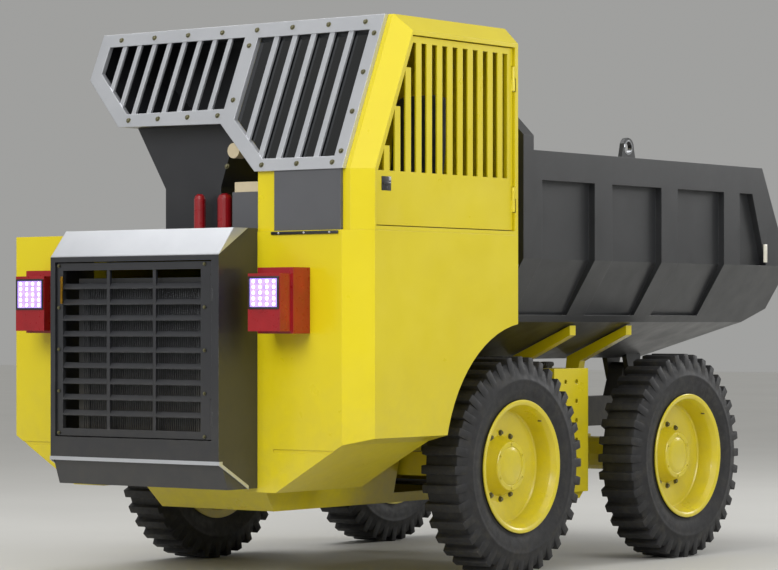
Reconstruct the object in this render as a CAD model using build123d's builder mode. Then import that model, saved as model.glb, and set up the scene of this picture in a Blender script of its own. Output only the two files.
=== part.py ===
from build123d import *
from math import cos, hypot, sin, tau
import os

os.makedirs("parts", exist_ok=True)

# A two-axle site dumper, in millimetres. The ground is Z zero, the front faces -Y and the
# driver's left hand is +X. Each reach is measured along the vehicle from the front axle.
body_width = 3828
wheelbase = 2600
front_reach = 2747
tail_reach = 4496
roof_height = 4513
deck_height = 2838
fender_height = 2813
scuttle_height = 3284
skirt_height = 1205
wheel_track = 3284
tyre_diameter = 1820
tyre_width = 412
arch_radius = 1188

# Clearances, and the length by which every cut runs past the face it opens
panel_gap = 8
seat_gap = 0.3
overrun = 60

# Flats round a turned form: bars and pins, a wheel's dish, and a tyre or an arch
bar_sides = 16
dish_sides = 24
wheel_sides = 36
arch_sides = 72

half_width = body_width / 2
half_track = wheel_track / 2
tyre_radius = tyre_diameter / 2
axle_z = tyre_radius
front_axle_y = (front_reach - tail_reach) / 2
rear_axle_y = front_axle_y + wheelbase
module_front_y = front_axle_y - front_reach
tail_y = front_axle_y + tail_reach


def side_form(points, x_low, x_high, mode=Mode.ADD):
    """Extrude an outline given in Y and Z from one X place to another."""
    with BuildSketch(Plane.YZ.offset(x_low)) as outline:
        Polygon(points)
    extrude(outline.sketch, amount=x_high - x_low, mode=mode)


def front_form(points, y_low, y_high, mode=Mode.ADD):
    """Extrude an outline given in X and Z from one Y place to another."""
    with BuildSketch(Plane.XZ.offset(-y_high)) as outline:
        Polygon(points)
    extrude(outline.sketch, amount=y_high - y_low, mode=mode)


def plan_form(points, z_low, z_high, mode=Mode.ADD):
    """Extrude an outline given in X and Y from one height to another."""
    with BuildSketch(Plane.XY.offset(z_low)) as outline:
        Polygon(points)
    extrude(outline.sketch, amount=z_high - z_low, mode=mode)


def block(x_low, x_high, y_low, y_high, z_low, z_high, mode=Mode.ADD):
    """Make a rectangular block between six faces."""
    with Locations((x_low, y_low, z_low)):
        corner = (Align.MIN, Align.MIN, Align.MIN)
        Box(x_high - x_low, y_high - y_low, z_high - z_low, align=corner, mode=mode)


def many_sided(radius, mode, sides):
    """Outline a many-sided bar of this radius, or a bore that clears such a bar at any turn."""
    if mode == Mode.ADD:
        RegularPolygon(radius, sides)
    else:
        RegularPolygon(radius, sides, major_radius=False, rotation=180 / sides)


def cross_bar(x_low, x_high, y, z, radius, mode=Mode.ADD, sides=bar_sides):
    """Make a bar, or its bore, along X between two places."""
    with BuildSketch(Plane.YZ.offset(x_low)) as outline:
        with Locations((y, z)):
            many_sided(radius, mode, sides)
    extrude(outline.sketch, amount=x_high - x_low, mode=mode)


def upright_bar(x, y, z_low, z_high, radius, mode=Mode.ADD):
    """Make a bar, or its bore, along Z between two heights."""
    with BuildSketch(Plane.XY.offset(z_low)) as outline:
        with Locations((x, y)):
            many_sided(radius, mode, bar_sides)
    extrude(outline.sketch, amount=z_high - z_low, mode=mode)


def line_bar(plane, radius, length, mode=Mode.ADD):
    """Make a bar, or its bore, out from a plane."""
    with BuildSketch(plane) as outline:
        many_sided(radius, mode, bar_sides)
    extrude(outline.sketch, amount=length, mode=mode)


def turned(sections, y, z, sides, mode=Mode.ADD):
    """Build a flat-sided form along X through its sections, each a place and a radius."""
    turns = [tau * side / sides for side in range(sides)]
    rings = [
        [(place, y + radius * cos(turn), z + radius * sin(turn)) for turn in turns]
        for place, radius in sections
    ]
    faces = [Face(Wire.make_polygon(rings[0])), Face(Wire.make_polygon(rings[-1]))]
    for near, far in zip(rings, rings[1:]):
        for side in range(sides):
            corners = [near[side - 1], near[side], far[side], far[side - 1]]
            faces.append(Face(Wire.make_polygon(corners)))
    add(Solid(Shell(faces)), mode=mode)


# Upright door hinges: knuckles of the two leaves stand in turn on one axis
hinge_radius = 20
hinge_length = 100
hinge_relief = 5
hinge_inset = hinge_radius + 2 * seat_gap
hinge_step = hinge_length + seat_gap


def hinge_knuckles(axis_x, axis_y, own_lows, other_lows):
    """Cut room for the other leaf's knuckles, then add this leaf's own."""
    for low in other_lows:
        room_top = low + hinge_length + hinge_relief
        upright_bar(axis_x, axis_y, low - hinge_relief, room_top, hinge_radius + hinge_relief, Mode.SUBTRACT)
    for low in own_lows:
        upright_bar(axis_x, axis_y, low, low + hinge_length, hinge_radius)


# Wheels: a deep dished steel rim with a hub cap, and a tyre with full-width transverse bars
rim_radius = 552
rim_seat_radius = 515
rim_outer_reach = 200
rim_inner_reach = 190
rim_flange = 16
spindle_radius = 80
spindle_reach = 55
hub_face_reach = 80
bead_width = 326
tread_half = 160
tread_radius = 868
ridge_radius = 720
ridge_land = 8
lug_width = 78
lug_top_half = 172
lug_foot_half = 203
lug_foot_radius = 715

# Faces of the dish: (reach as a share of the rim's outer reach, radius as a share of the rim's)
dish_shares = [(1.30, 0.94), (1.0, 0.94), (0.72, 0.88), (0.08, 0.84), (-0.15, 0.54)]
boss_shares = [(-0.20, 0.46), (0.43, 0.37)]
cap_shares = [(0.40, 0.29), (0.475, 0.25)]
well_shares = [(-1.30, 0.87), (-0.30, 0.82)]
hub_shares = [(-0.25, 0.55), (-0.40, 0.34)]


def rim(x, y, side):
    """Build one rim about its axle, dished towards its own side of the vehicle."""
    def placed(shares):
        return [(x + side * rim_outer_reach * reach, rim_radius * radius) for reach, radius in shares]

    def drum(reach_low, reach_high, radius):
        turned([(x + side * reach_low, radius), (x + side * reach_high, radius)], y, axle_z, wheel_sides)

    with BuildPart() as dished:
        drum(-rim_inner_reach, rim_outer_reach, rim_seat_radius)
        drum(-rim_inner_reach, rim_flange - rim_inner_reach, rim_radius)
        drum(rim_outer_reach - rim_flange, rim_outer_reach, rim_radius)
        turned(placed(dish_shares), y, axle_z, dish_sides, Mode.SUBTRACT)
        turned(placed(well_shares), y, axle_z, dish_sides, Mode.SUBTRACT)
        turned(placed(boss_shares), y, axle_z, dish_sides)
        turned(placed(cap_shares), y, axle_z, dish_sides)
        turned(placed(hub_shares), y, axle_z, dish_sides)
        bore_low = min(x - side * (hub_face_reach + overrun), x + side * (spindle_reach + seat_gap))
        bore_high = max(x - side * (hub_face_reach + overrun), x + side * (spindle_reach + seat_gap))
        cross_bar(bore_low, bore_high, y, axle_z, spindle_radius + seat_gap, Mode.SUBTRACT)
    return dished


def tyre():
    """Build a tyre about the X axis and stand its bars round the tread, one on each corner of the carcass."""
    wall_half = tyre_width / 2
    bead_half = bead_width / 2
    wall_slope = (ridge_radius - ridge_land - rim_seat_radius) / (wall_half - bead_half)
    with BuildPart() as bar:
        with BuildSketch(Plane.XZ):
            Polygon([
                (-lug_foot_half, lug_foot_radius),
                (-lug_top_half, tyre_radius),
                (lug_top_half, tyre_radius),
                (lug_foot_half, lug_foot_radius),
            ])
        extrude(amount=lug_width / 2, both=True)
    with BuildPart() as ring:
        shoulders = [
            (-wall_half, ridge_radius),
            (-tread_half, tread_radius),
            (tread_half, tread_radius),
            (wall_half, ridge_radius),
        ]
        turned(shoulders, 0, 0, wheel_sides)
        add([bar.part.rotate(Axis.X, index * 360 / wheel_sides) for index in range(wheel_sides)])
        for side in (-1, 1):
            sidewall = [
                (side * bead_half, rim_seat_radius),
                (side * wall_half, ridge_radius - ridge_land),
                (side * (wall_half + overrun), ridge_radius - ridge_land + overrun * wall_slope),
            ]
            turned(sidewall, 0, 0, wheel_sides, Mode.SUBTRACT)
        bore = [(-wall_half, rim_seat_radius + seat_gap), (wall_half, rim_seat_radius + seat_gap)]
        turned(bore, 0, 0, wheel_sides, Mode.SUBTRACT)
    return ring


# Four wheels: (name, side, axle place)
wheels = [
    ("front_left", 1, front_axle_y),
    ("front_right", -1, front_axle_y),
    ("rear_left", 1, rear_axle_y),
    ("rear_right", -1, rear_axle_y),
]
tyre_form = tyre()
for wheel_name, wheel_side, wheel_y in wheels:
    wheel_rim = rim(wheel_side * half_track, wheel_y, wheel_side)
    wheel_rim.part.label = "rim_" + wheel_name
    export_step(wheel_rim.part, f"parts/rim_{wheel_name}.step")
    with BuildPart() as wheel_tyre:
        add(tyre_form.part.moved(Location((wheel_side * half_track, wheel_y, axle_z))))
    wheel_tyre.part.label = "tyre_" + wheel_name
    export_step(wheel_tyre.part, f"parts/tyre_{wheel_name}.step")


# Main frame: two box rails with cross members, strut brackets and the body's pivot ears
rail_inner_x = 560
rail_width = 160
rail_bottom = 1150
rail_top = 1420
rail_front_reach = 2277
rail_rear_reach = 3490
rail_rear_rise = 110
pivot_reach = 3350
pivot_z = 1620
pivot_pin_radius = 50
pivot_ear_radius = 110
pivot_ear_foot = 190
pivot_tube_radius = 80
hoist_tube_reach = 450
hoist_tube_radius = 60
mid_member_reach = 1500
mid_member_length = 150
mid_member_height = 130
nose_member_length = 120
strut_x = 850
strut_bracket_half = 95
strut_bracket_height = 90

rail_outer_x = rail_inner_x + rail_width
rail_front_y = front_axle_y - rail_front_reach
rail_rear_y = front_axle_y + rail_rear_reach
rail_middle = (rail_bottom + rail_top) / 2
pivot_y = front_axle_y + pivot_reach
hoist_tube_y = front_axle_y + hoist_tube_reach
hoist_tube_z = rail_middle
mid_member_y = front_axle_y + mid_member_reach

with BuildPart() as main_frame:
    for side in (-1, 1):
        x_low = min(side * rail_inner_x, side * rail_outer_x)
        x_high = x_low + rail_width
        side_form(
            [
                (rail_front_y, rail_bottom),
                (rail_front_y, rail_top),
                (rail_rear_y, rail_top),
                (rail_rear_y, rail_bottom + rail_rear_rise),
                (rail_rear_y - rail_rear_rise, rail_bottom),
            ],
            x_low,
            x_high,
        )
        side_form(
            [
                (pivot_y - pivot_ear_foot, rail_top - overrun),
                (pivot_y - pivot_ear_foot, rail_top),
                (pivot_y - pivot_ear_radius, pivot_z),
                (pivot_y + pivot_ear_radius, pivot_z),
                (rail_rear_y, rail_top),
                (rail_rear_y, rail_top - overrun),
            ],
            x_low,
            x_high,
        )
        cross_bar(x_low, x_high, pivot_y, pivot_z, pivot_ear_radius)
        cross_bar(x_low, x_high, pivot_y, pivot_z, pivot_pin_radius + seat_gap, Mode.SUBTRACT)
        bracket_reach = strut_x + strut_bracket_half
        block(
            min(side * rail_inner_x, side * bracket_reach),
            max(side * rail_inner_x, side * bracket_reach),
            front_axle_y - strut_bracket_half,
            front_axle_y + strut_bracket_half,
            rail_top,
            rail_top + strut_bracket_height,
        )
    block(-rail_inner_x, rail_inner_x, rail_front_y, rail_front_y + nose_member_length, rail_bottom, rail_top)
    cross_bar(-rail_inner_x, rail_inner_x, hoist_tube_y, hoist_tube_z, hoist_tube_radius)
    block(
        -rail_inner_x,
        rail_inner_x,
        mid_member_y - mid_member_length / 2,
        mid_member_y + mid_member_length / 2,
        rail_bottom,
        rail_bottom + mid_member_height,
    )
    cross_bar(-rail_inner_x, rail_inner_x, pivot_y, rail_middle, pivot_tube_radius)
main_frame.part.label = "main_frame"
export_step(main_frame.part, "parts/main_frame.step")


# Engine bay: side walls and a rear wall of plate, standing on the rails
bay_wall = 20
bay_rear_reach = 173
bay_half = rail_outer_x + bay_wall
bay_rear_y = front_axle_y - bay_rear_reach

with BuildPart() as engine_bay:
    for side in (-1, 1):
        x_low = min(side * rail_outer_x, side * bay_half)
        block(x_low, x_low + bay_wall, rail_front_y, bay_rear_y, rail_bottom, fender_height)
    block(-rail_outer_x, rail_outer_x, bay_rear_y - bay_wall, bay_rear_y, rail_top, fender_height)
engine_bay.part.label = "engine_bay"
export_step(engine_bay.part, "parts/engine_bay.step")


# Fenders: plate housings beside the engine bay, hollow inside, the arch cut round the axle
fender_front_reach = 2277
fender_bottom = 767
fender_toe_x = 1073
fender_bevel_height = 1155
corner_bevel = 181
fender_wall = 16
fender_floor = 20
seam_height = 1097
seam_width = 24
seam_depth = 8
seam_inner_x = 1048
seam_outer_x = 1666
step_width = 420
step_height = 170
step_depth = 150
step_pitch = 385
step_count = 4
step_start_height = 1330
step_front_margin = 150

fender_front_y = front_axle_y - fender_front_reach
fender_rear_y = bay_rear_y
corner_x = half_width - corner_bevel
corner_y = fender_front_y + corner_bevel
step_front_y = corner_y + step_front_margin


def fender_room(side):
    """Build the hollow of one fender, open to the engine bay's side plate and clear of arch and steps."""
    inner_x = side * (bay_half - overrun)
    outer_x = side * (half_width - fender_wall)
    bevel_x = side * (corner_x - fender_wall / 2)
    with BuildPart() as room:
        plan_form(
            [
                (inner_x, fender_front_y + fender_wall),
                (bevel_x, fender_front_y + fender_wall),
                (outer_x, corner_y + fender_wall / 2),
                (outer_x, fender_rear_y - fender_wall),
                (inner_x, fender_rear_y - fender_wall),
            ],
            fender_bottom + fender_floor,
            fender_height - fender_wall,
        )
        front_form(
            [
                (side * fender_toe_x, fender_bottom + fender_floor),
                (side * corner_x, fender_bevel_height + fender_floor),
                (side * half_width, skirt_height + fender_floor),
                (side * (half_width + overrun), skirt_height + fender_floor),
                (side * (half_width + overrun), fender_bottom),
                (side * fender_toe_x, fender_bottom),
            ],
            fender_front_y,
            fender_rear_y,
            Mode.SUBTRACT,
        )
        room_low = min(inner_x, outer_x)
        room_high = max(inner_x, outer_x)
        clear_radius = arch_radius + fender_wall
        cross_bar(room_low, room_high, front_axle_y, axle_z, clear_radius, Mode.SUBTRACT, arch_sides)
        if side < 0:
            for step in range(step_count):
                step_low = step_start_height + step * step_pitch
                block(
                    -half_width,
                    step_depth - half_width + fender_wall,
                    step_front_y - fender_wall,
                    step_front_y + step_width + fender_wall,
                    step_low - fender_wall,
                    step_low + step_height + fender_wall,
                    Mode.SUBTRACT,
                )
    return room


def fender(side):
    """Build one fender; the right-hand one has recessed climbing steps in its side."""
    room = fender_room(side)
    with BuildPart() as housing:
        plan_form(
            [
                (side * bay_half, fender_front_y),
                (side * corner_x, fender_front_y),
                (side * half_width, corner_y),
                (side * half_width, fender_rear_y),
                (side * bay_half, fender_rear_y),
            ],
            fender_bottom,
            fender_height,
        )
        front_form(
            [
                (side * fender_toe_x, fender_bottom),
                (side * corner_x, fender_bevel_height),
                (side * half_width, skirt_height),
                (side * (half_width + overrun), skirt_height),
                (side * (half_width + overrun), fender_bottom - overrun),
                (side * fender_toe_x, fender_bottom - overrun),
            ],
            fender_front_y - overrun,
            fender_rear_y + overrun,
            Mode.SUBTRACT,
        )
        arch_low = min(side * (bay_half - overrun), side * (half_width + overrun))
        arch_high = max(side * (bay_half - overrun), side * (half_width + overrun))
        cross_bar(arch_low, arch_high, front_axle_y, axle_z, arch_radius, Mode.SUBTRACT, arch_sides)
        add(room.part, mode=Mode.SUBTRACT)
        seam_low = min(side * seam_inner_x, side * seam_outer_x)
        seam_high = max(side * seam_inner_x, side * seam_outer_x)
        block(
            seam_low,
            seam_high,
            fender_front_y - overrun,
            fender_front_y + seam_depth,
            seam_height - seam_width / 2,
            seam_height + seam_width / 2,
            Mode.SUBTRACT,
        )
        if side < 0:
            for step in range(step_count):
                step_low = step_start_height + step * step_pitch
                block(
                    -half_width - overrun,
                    step_depth - half_width,
                    step_front_y,
                    step_front_y + step_width,
                    step_low,
                    step_low + step_height,
                    Mode.SUBTRACT,
                )
    return housing


fender_left = fender(1)
fender_left.part.label = "fender_left"
export_step(fender_left.part, "parts/fender_left.step")
fender_right = fender(-1)
fender_right.part.label = "fender_right"
export_step(fender_right.part, "parts/fender_right.step")


# Grille surround: the dark box ahead of the fenders, hollow behind its door, with a solid chin
module_half = 891
module_top = 2624
module_bottom = 1023
module_wall = 40
module_face = 60
cap_front_reach = 2566
cap_rear_reach = 2393
chin_reach = 2640
chin_bottom = 800
trim_depth = 40
trim_height = 30
trim_side = 8
trim_rear_drop = 198
door_left_x = -835
door_right_x = 811
door_bottom = 1190
door_top = 2576

cap_front_y = front_axle_y - cap_front_reach
cap_rear_y = front_axle_y - cap_rear_reach
chin_y = front_axle_y - chin_reach
trim_rear_bottom = module_bottom - trim_rear_drop
grille_hinge_x = door_right_x + panel_gap / 2
grille_hinge_y = module_front_y + hinge_inset
grille_hinge_inset_height = 110
grille_hinge_lows = [
    door_bottom + grille_hinge_inset_height,
    door_top - grille_hinge_inset_height - hinge_step - hinge_length,
]
grille_fixed_lows = [low + hinge_step for low in grille_hinge_lows]

with BuildPart() as grille_surround:
    side_form(
        [
            (module_front_y, module_bottom),
            (module_front_y, module_top),
            (cap_rear_y, deck_height),
            (fender_front_y, deck_height),
            (fender_front_y, chin_bottom),
            (chin_y, chin_bottom),
            (module_front_y + trim_depth, module_bottom - trim_height),
            (module_front_y + trim_depth, module_bottom),
        ],
        -module_half,
        module_half,
    )
    side_form(
        [
            (module_front_y + module_face, module_bottom + module_wall),
            (module_front_y + module_face, module_top - module_wall / 2),
            (cap_rear_y, deck_height - module_wall),
            (fender_front_y + overrun, deck_height - module_wall),
            (fender_front_y + overrun, module_bottom + module_wall),
        ],
        module_wall - module_half,
        module_half - module_wall,
        Mode.SUBTRACT,
    )
    block(
        door_left_x - panel_gap,
        door_right_x + panel_gap,
        module_front_y - overrun,
        module_front_y + module_face + seat_gap,
        door_bottom - panel_gap,
        door_top + panel_gap,
        Mode.SUBTRACT,
    )
    hinge_knuckles(grille_hinge_x, grille_hinge_y, grille_fixed_lows, grille_hinge_lows)
grille_surround.part.label = "grille_surround"
export_step(grille_surround.part, "parts/grille_surround.step")


# Grille trim: the bright cap along the top edge and the bright strip under the face
with BuildPart() as grille_trim:
    side_form(
        [
            (module_front_y, module_top),
            (cap_front_y, deck_height),
            (cap_rear_y, deck_height),
        ],
        -module_half,
        module_half,
    )
    trim_half = module_half + trim_side
    side_form(
        [
            (module_front_y, module_bottom),
            (module_front_y, module_bottom - trim_height),
            (module_front_y + trim_depth, module_bottom - trim_height),
            (module_front_y + trim_depth, module_bottom),
        ],
        -trim_half,
        trim_half,
    )
    for x_low in (-trim_half, module_half):
        side_form(
            [
                (module_front_y, module_bottom),
                (cap_rear_y, trim_rear_bottom),
                (cap_rear_y, trim_rear_bottom - trim_height),
                (module_front_y, module_bottom - trim_height),
            ],
            x_low,
            x_low + trim_side,
        )
grille_trim.part.label = "grille_trim"
export_step(grille_trim.part, "parts/grille_trim.step")


# Grille door: a framed panel of louvres between two posts, hung on the driver's left
louvre_left_x = -775
louvre_right_x = 693
louvre_bottom = 1250
louvre_top = 2516
louvre_count = 9
louvre_depth = 26
louvre_height = 46
louvre_thickness = 12
post_width = 30
post_count = 2
door_depth = module_face - hinge_inset
door_front_y = module_front_y + hinge_inset

with BuildPart() as grille_door:
    block(door_left_x, door_right_x, door_front_y, door_front_y + door_depth, door_bottom, door_top)
    block(
        louvre_left_x,
        louvre_right_x,
        door_front_y - overrun,
        door_front_y + door_depth + overrun,
        louvre_bottom,
        louvre_top,
        Mode.SUBTRACT,
    )
    louvre_pitch = (louvre_top - louvre_bottom) / (louvre_count + 1)
    louvre_y = door_front_y + (door_depth - louvre_depth) / 2
    for index in range(louvre_count):
        foot = louvre_bottom + (index + 1) * louvre_pitch - louvre_height / 2
        side_form(
            [
                (louvre_y, foot),
                (louvre_y + louvre_depth, foot + louvre_height - louvre_thickness),
                (louvre_y + louvre_depth, foot + louvre_height),
                (louvre_y, foot + louvre_thickness),
            ],
            louvre_left_x,
            louvre_right_x,
        )
    bay_width = (louvre_right_x - louvre_left_x) / (post_count + 1)
    for index in range(post_count):
        post_x = louvre_left_x + (index + 1) * bay_width
        block(
            post_x - post_width / 2,
            post_x + post_width / 2,
            louvre_y,
            louvre_y + louvre_depth,
            louvre_bottom,
            louvre_top,
        )
    hinge_knuckles(grille_hinge_x, grille_hinge_y, grille_hinge_lows, grille_fixed_lows)
grille_door.part.label = "grille_door"
export_step(grille_door.part, "parts/grille_door.step")


# Radiator: a core between two tanks, standing on the surround's floor behind the grille
radiator_half = 680
radiator_stand_off = 110
radiator_depth = 140
radiator_height = 1390
radiator_tank_height = 110
radiator_core_inset = 22
radiator_front_y = module_front_y + radiator_stand_off
radiator_foot = module_bottom + module_wall

with BuildPart() as radiator:
    radiator_top = radiator_foot + radiator_height
    block(
        -radiator_half,
        radiator_half,
        radiator_front_y,
        radiator_front_y + radiator_depth,
        radiator_foot,
        radiator_top,
    )
    for face_y in (radiator_front_y - overrun, radiator_front_y + radiator_depth - radiator_core_inset):
        block(
            radiator_tank_height - radiator_half,
            radiator_half - radiator_tank_height,
            face_y,
            face_y + overrun + radiator_core_inset,
            radiator_foot + radiator_tank_height,
            radiator_top - radiator_tank_height,
            Mode.SUBTRACT,
        )
radiator.part.label = "radiator"
export_step(radiator.part, "parts/radiator.step")


# Engine: one plain block with its feet on the rails
engine_half = 420
engine_front_reach = 2100
engine_rear_reach = 900
engine_bottom = 1250
engine_top = 2300
engine_top_bevel = 160
foot_length = 140
foot_height = 70
foot_inset = 150
foot_edge = 40

engine_front_y = front_axle_y - engine_front_reach
engine_rear_y = front_axle_y - engine_rear_reach

with BuildPart() as engine_block:
    front_form(
        [
            (-engine_half, engine_bottom),
            (engine_half, engine_bottom),
            (engine_half, engine_top - engine_top_bevel),
            (engine_half - engine_top_bevel, engine_top),
            (engine_top_bevel - engine_half, engine_top),
            (-engine_half, engine_top - engine_top_bevel),
        ],
        engine_front_y,
        engine_rear_y,
    )
    foot_half = rail_outer_x - foot_edge
    for foot_y in (engine_front_y + foot_inset, engine_rear_y - foot_inset - foot_length):
        block(-foot_half, foot_half, foot_y, foot_y + foot_length, rail_top, rail_top + foot_height)
engine_block.part.label = "engine_block"
export_step(engine_block.part, "parts/engine_block.step")


# Driveline: the gearbox on the engine's back face and the shaft to the rear axle
gearbox_half = 220
gearbox_rear_reach = 300
gearbox_bottom = 1010
gearbox_top = 1500
gearbox_bevel = 90
shaft_radius = 42
shaft_start_z = 1260
shaft_flange_radius = 95
shaft_flange_length = 60

gearbox_rear_y = front_axle_y - gearbox_rear_reach
banjo_radius = 300
banjo_half = 330
banjo_neck_half = 130
banjo_nose = 90
shaft_end_y = rear_axle_y - banjo_radius - banjo_nose

with BuildPart() as driveline:
    side_form(
        [
            (engine_rear_y, engine_bottom),
            (engine_rear_y, gearbox_top),
            (gearbox_rear_y - gearbox_bevel, gearbox_top),
            (gearbox_rear_y, gearbox_top - gearbox_bevel),
            (gearbox_rear_y, gearbox_bottom + gearbox_bevel),
            (gearbox_rear_y - gearbox_bevel, gearbox_bottom),
            (engine_rear_y + gearbox_bevel, gearbox_bottom),
        ],
        -gearbox_half,
        gearbox_half,
    )
    shaft_run = shaft_end_y - gearbox_rear_y
    shaft_fall = shaft_start_z - axle_z
    shaft_length = hypot(shaft_run, shaft_fall)
    shaft_line = Plane(
        origin=(0, gearbox_rear_y, shaft_start_z),
        x_dir=(1, 0, 0),
        z_dir=(0, shaft_run, -shaft_fall),
    )
    line_bar(shaft_line.offset(-overrun), shaft_radius, shaft_length + overrun - shaft_flange_length)
    for flange_start in (0, shaft_length - 2 * shaft_flange_length):
        line_bar(shaft_line.offset(flange_start), shaft_flange_radius, shaft_flange_length)
driveline.part.label = "driveline"
export_step(driveline.part, "parts/driveline.step")


# Rear axle: a turned banjo casing with spindles, brake backplates and seats for the blocks
axle_tube_radius = 150
backplate_radius = 210
backplate_reach = 97
backplate_thickness = 45
block_seat_half = 110
block_seat_top = 1080
backplate_outer_x = half_track - backplate_reach
backplate_inner_x = backplate_outer_x - backplate_thickness
spindle_end_x = half_track + spindle_reach

with BuildPart() as rear_axle:
    cross_bar(-spindle_end_x, spindle_end_x, rear_axle_y, axle_z, spindle_radius)
    cross_bar(-backplate_outer_x, backplate_outer_x, rear_axle_y, axle_z, axle_tube_radius)
    casing = [
        (-banjo_half, axle_tube_radius),
        (-banjo_neck_half, banjo_radius),
        (banjo_neck_half, banjo_radius),
        (banjo_half, axle_tube_radius),
    ]
    turned(casing, rear_axle_y, axle_z, bar_sides)
    for side in (-1, 1):
        plate_low = min(side * backplate_inner_x, side * backplate_outer_x)
        cross_bar(plate_low, plate_low + backplate_thickness, rear_axle_y, axle_z, backplate_radius)
    nose_line = Plane(origin=(0, shaft_end_y, axle_z), x_dir=(1, 0, 0), z_dir=(0, 1, 0))
    line_bar(nose_line, axle_tube_radius, banjo_nose + banjo_radius / 2)
    seat_middle_x = (rail_inner_x + rail_outer_x) / 2
    for side in (-1, 1):
        block(
            side * seat_middle_x - rail_width / 2,
            side * seat_middle_x + rail_width / 2,
            rear_axle_y - block_seat_half,
            rear_axle_y + block_seat_half,
            axle_z,
            block_seat_top,
        )
rear_axle.part.label = "rear_axle"
export_step(rear_axle.part, "parts/rear_axle.step")


# Front axle: a beam with a small differential casing and an eye at each end for the kingpin
kingpin_x = 1400
kingpin_radius = 40
eye_radius = 80
eye_half_height = 80
beam_half_height = 100
beam_half_depth = 85
beam_taper_x = 1080
beam_neck_x = 1270
front_casing_radius = 235
front_casing_half = 300
front_casing_neck_half = 110

with BuildPart() as front_axle:
    front_form(
        [
            (-kingpin_x, axle_z - eye_half_height),
            (-beam_neck_x, axle_z - eye_half_height),
            (-beam_taper_x, axle_z - beam_half_height),
            (beam_taper_x, axle_z - beam_half_height),
            (beam_neck_x, axle_z - eye_half_height),
            (kingpin_x, axle_z - eye_half_height),
            (kingpin_x, axle_z + eye_half_height),
            (beam_neck_x, axle_z + eye_half_height),
            (beam_taper_x, axle_z + beam_half_height),
            (-beam_taper_x, axle_z + beam_half_height),
            (-beam_neck_x, axle_z + eye_half_height),
            (-kingpin_x, axle_z + eye_half_height),
        ],
        front_axle_y - beam_half_depth,
        front_axle_y + beam_half_depth,
    )
    casing = [
        (-front_casing_half, beam_half_depth),
        (-front_casing_neck_half, front_casing_radius),
        (front_casing_neck_half, front_casing_radius),
        (front_casing_half, beam_half_depth),
    ]
    turned(casing, front_axle_y, axle_z, bar_sides)
    for side in (-1, 1):
        beam_cut_low = min(side * kingpin_x, side * (kingpin_x + overrun))
        block(
            beam_cut_low,
            beam_cut_low + overrun,
            front_axle_y - eye_radius - overrun,
            front_axle_y + eye_radius + overrun,
            axle_z - beam_half_height,
            axle_z + beam_half_height,
            Mode.SUBTRACT,
        )
        eye_low = axle_z - eye_half_height
        eye_high = axle_z + eye_half_height
        upright_bar(side * kingpin_x, front_axle_y, eye_low, eye_high, eye_radius)
        bore_radius = kingpin_radius + seat_gap
        upright_bar(side * kingpin_x, front_axle_y, eye_low, eye_high, bore_radius, Mode.SUBTRACT)
front_axle.part.label = "front_axle"
export_step(front_axle.part, "parts/front_axle.step")


# Steering knuckles: a fork round the axle's eye, its kingpin, a spindle and a steering arm
fork_gap = 7
fork_arm_height = 60
fork_wall = 44
fork_half_depth = 82
arm_reach = 220
arm_inset = 40
arm_half = 42
arm_height = 40

fork_bottom = axle_z - eye_half_height - fork_gap - fork_arm_height
fork_top = axle_z + eye_half_height + fork_gap + fork_arm_height
fork_wall_x = kingpin_x + eye_radius + fork_gap
arm_pin_x = kingpin_x - arm_inset
arm_pin_y = front_axle_y + arm_reach


def knuckle(side):
    """Build one steering knuckle about its upright kingpin."""
    pin_x = side * kingpin_x
    with BuildPart() as upright:
        fork_low = min(pin_x, side * (fork_wall_x + fork_wall))
        fork_high = max(pin_x, side * (fork_wall_x + fork_wall))
        front_y = front_axle_y - fork_half_depth
        rear_y = front_axle_y + fork_half_depth
        block(fork_low, fork_high, front_y, rear_y, fork_bottom, fork_top)
        upright_bar(pin_x, front_axle_y, fork_bottom, fork_top, fork_half_depth)
        room_low = min(side * (kingpin_x - eye_radius - overrun), side * fork_wall_x)
        room_high = max(side * (kingpin_x - eye_radius - overrun), side * fork_wall_x)
        block(
            room_low,
            room_high,
            front_y - overrun,
            rear_y + overrun,
            fork_bottom + fork_arm_height,
            fork_top - fork_arm_height,
            Mode.SUBTRACT,
        )
        upright_bar(pin_x, front_axle_y, fork_bottom, fork_top, kingpin_radius)
        plate_low = min(side * backplate_inner_x, side * backplate_outer_x)
        cross_bar(plate_low, plate_low + backplate_thickness, front_axle_y, axle_z, backplate_radius)
        spindle_low = min(side * backplate_inner_x, side * spindle_end_x)
        spindle_high = max(side * backplate_inner_x, side * spindle_end_x)
        cross_bar(spindle_low, spindle_high, front_axle_y, axle_z, spindle_radius)
        plan_form(
            [
                (pin_x + arm_half, front_axle_y),
                (side * arm_pin_x + arm_half, arm_pin_y),
                (side * arm_pin_x - arm_half, arm_pin_y),
                (pin_x - arm_half, front_axle_y),
            ],
            fork_bottom,
            fork_bottom + arm_height,
        )
        upright_bar(side * arm_pin_x, arm_pin_y, fork_bottom, fork_bottom + arm_height, arm_half)
    return upright


knuckle_left = knuckle(1)
knuckle_left.part.label = "knuckle_left"
export_step(knuckle_left.part, "parts/knuckle_left.step")
knuckle_right = knuckle(-1)
knuckle_right.part.label = "knuckle_right"
export_step(knuckle_right.part, "parts/knuckle_right.step")


# Tie rod: a tube between two eyes that lie just under the steering arms
tie_rod_radius = 26
tie_eye_height = 56
tie_top = fork_bottom - seat_gap

with BuildPart() as tie_rod:
    cross_bar(-arm_pin_x, arm_pin_x, arm_pin_y, tie_top - tie_eye_height / 2, tie_rod_radius)
    for side in (-1, 1):
        upright_bar(side * arm_pin_x, arm_pin_y, tie_top - tie_eye_height, tie_top, arm_half)
tie_rod.part.label = "tie_rod"
export_step(tie_rod.part, "parts/tie_rod.step")


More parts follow.
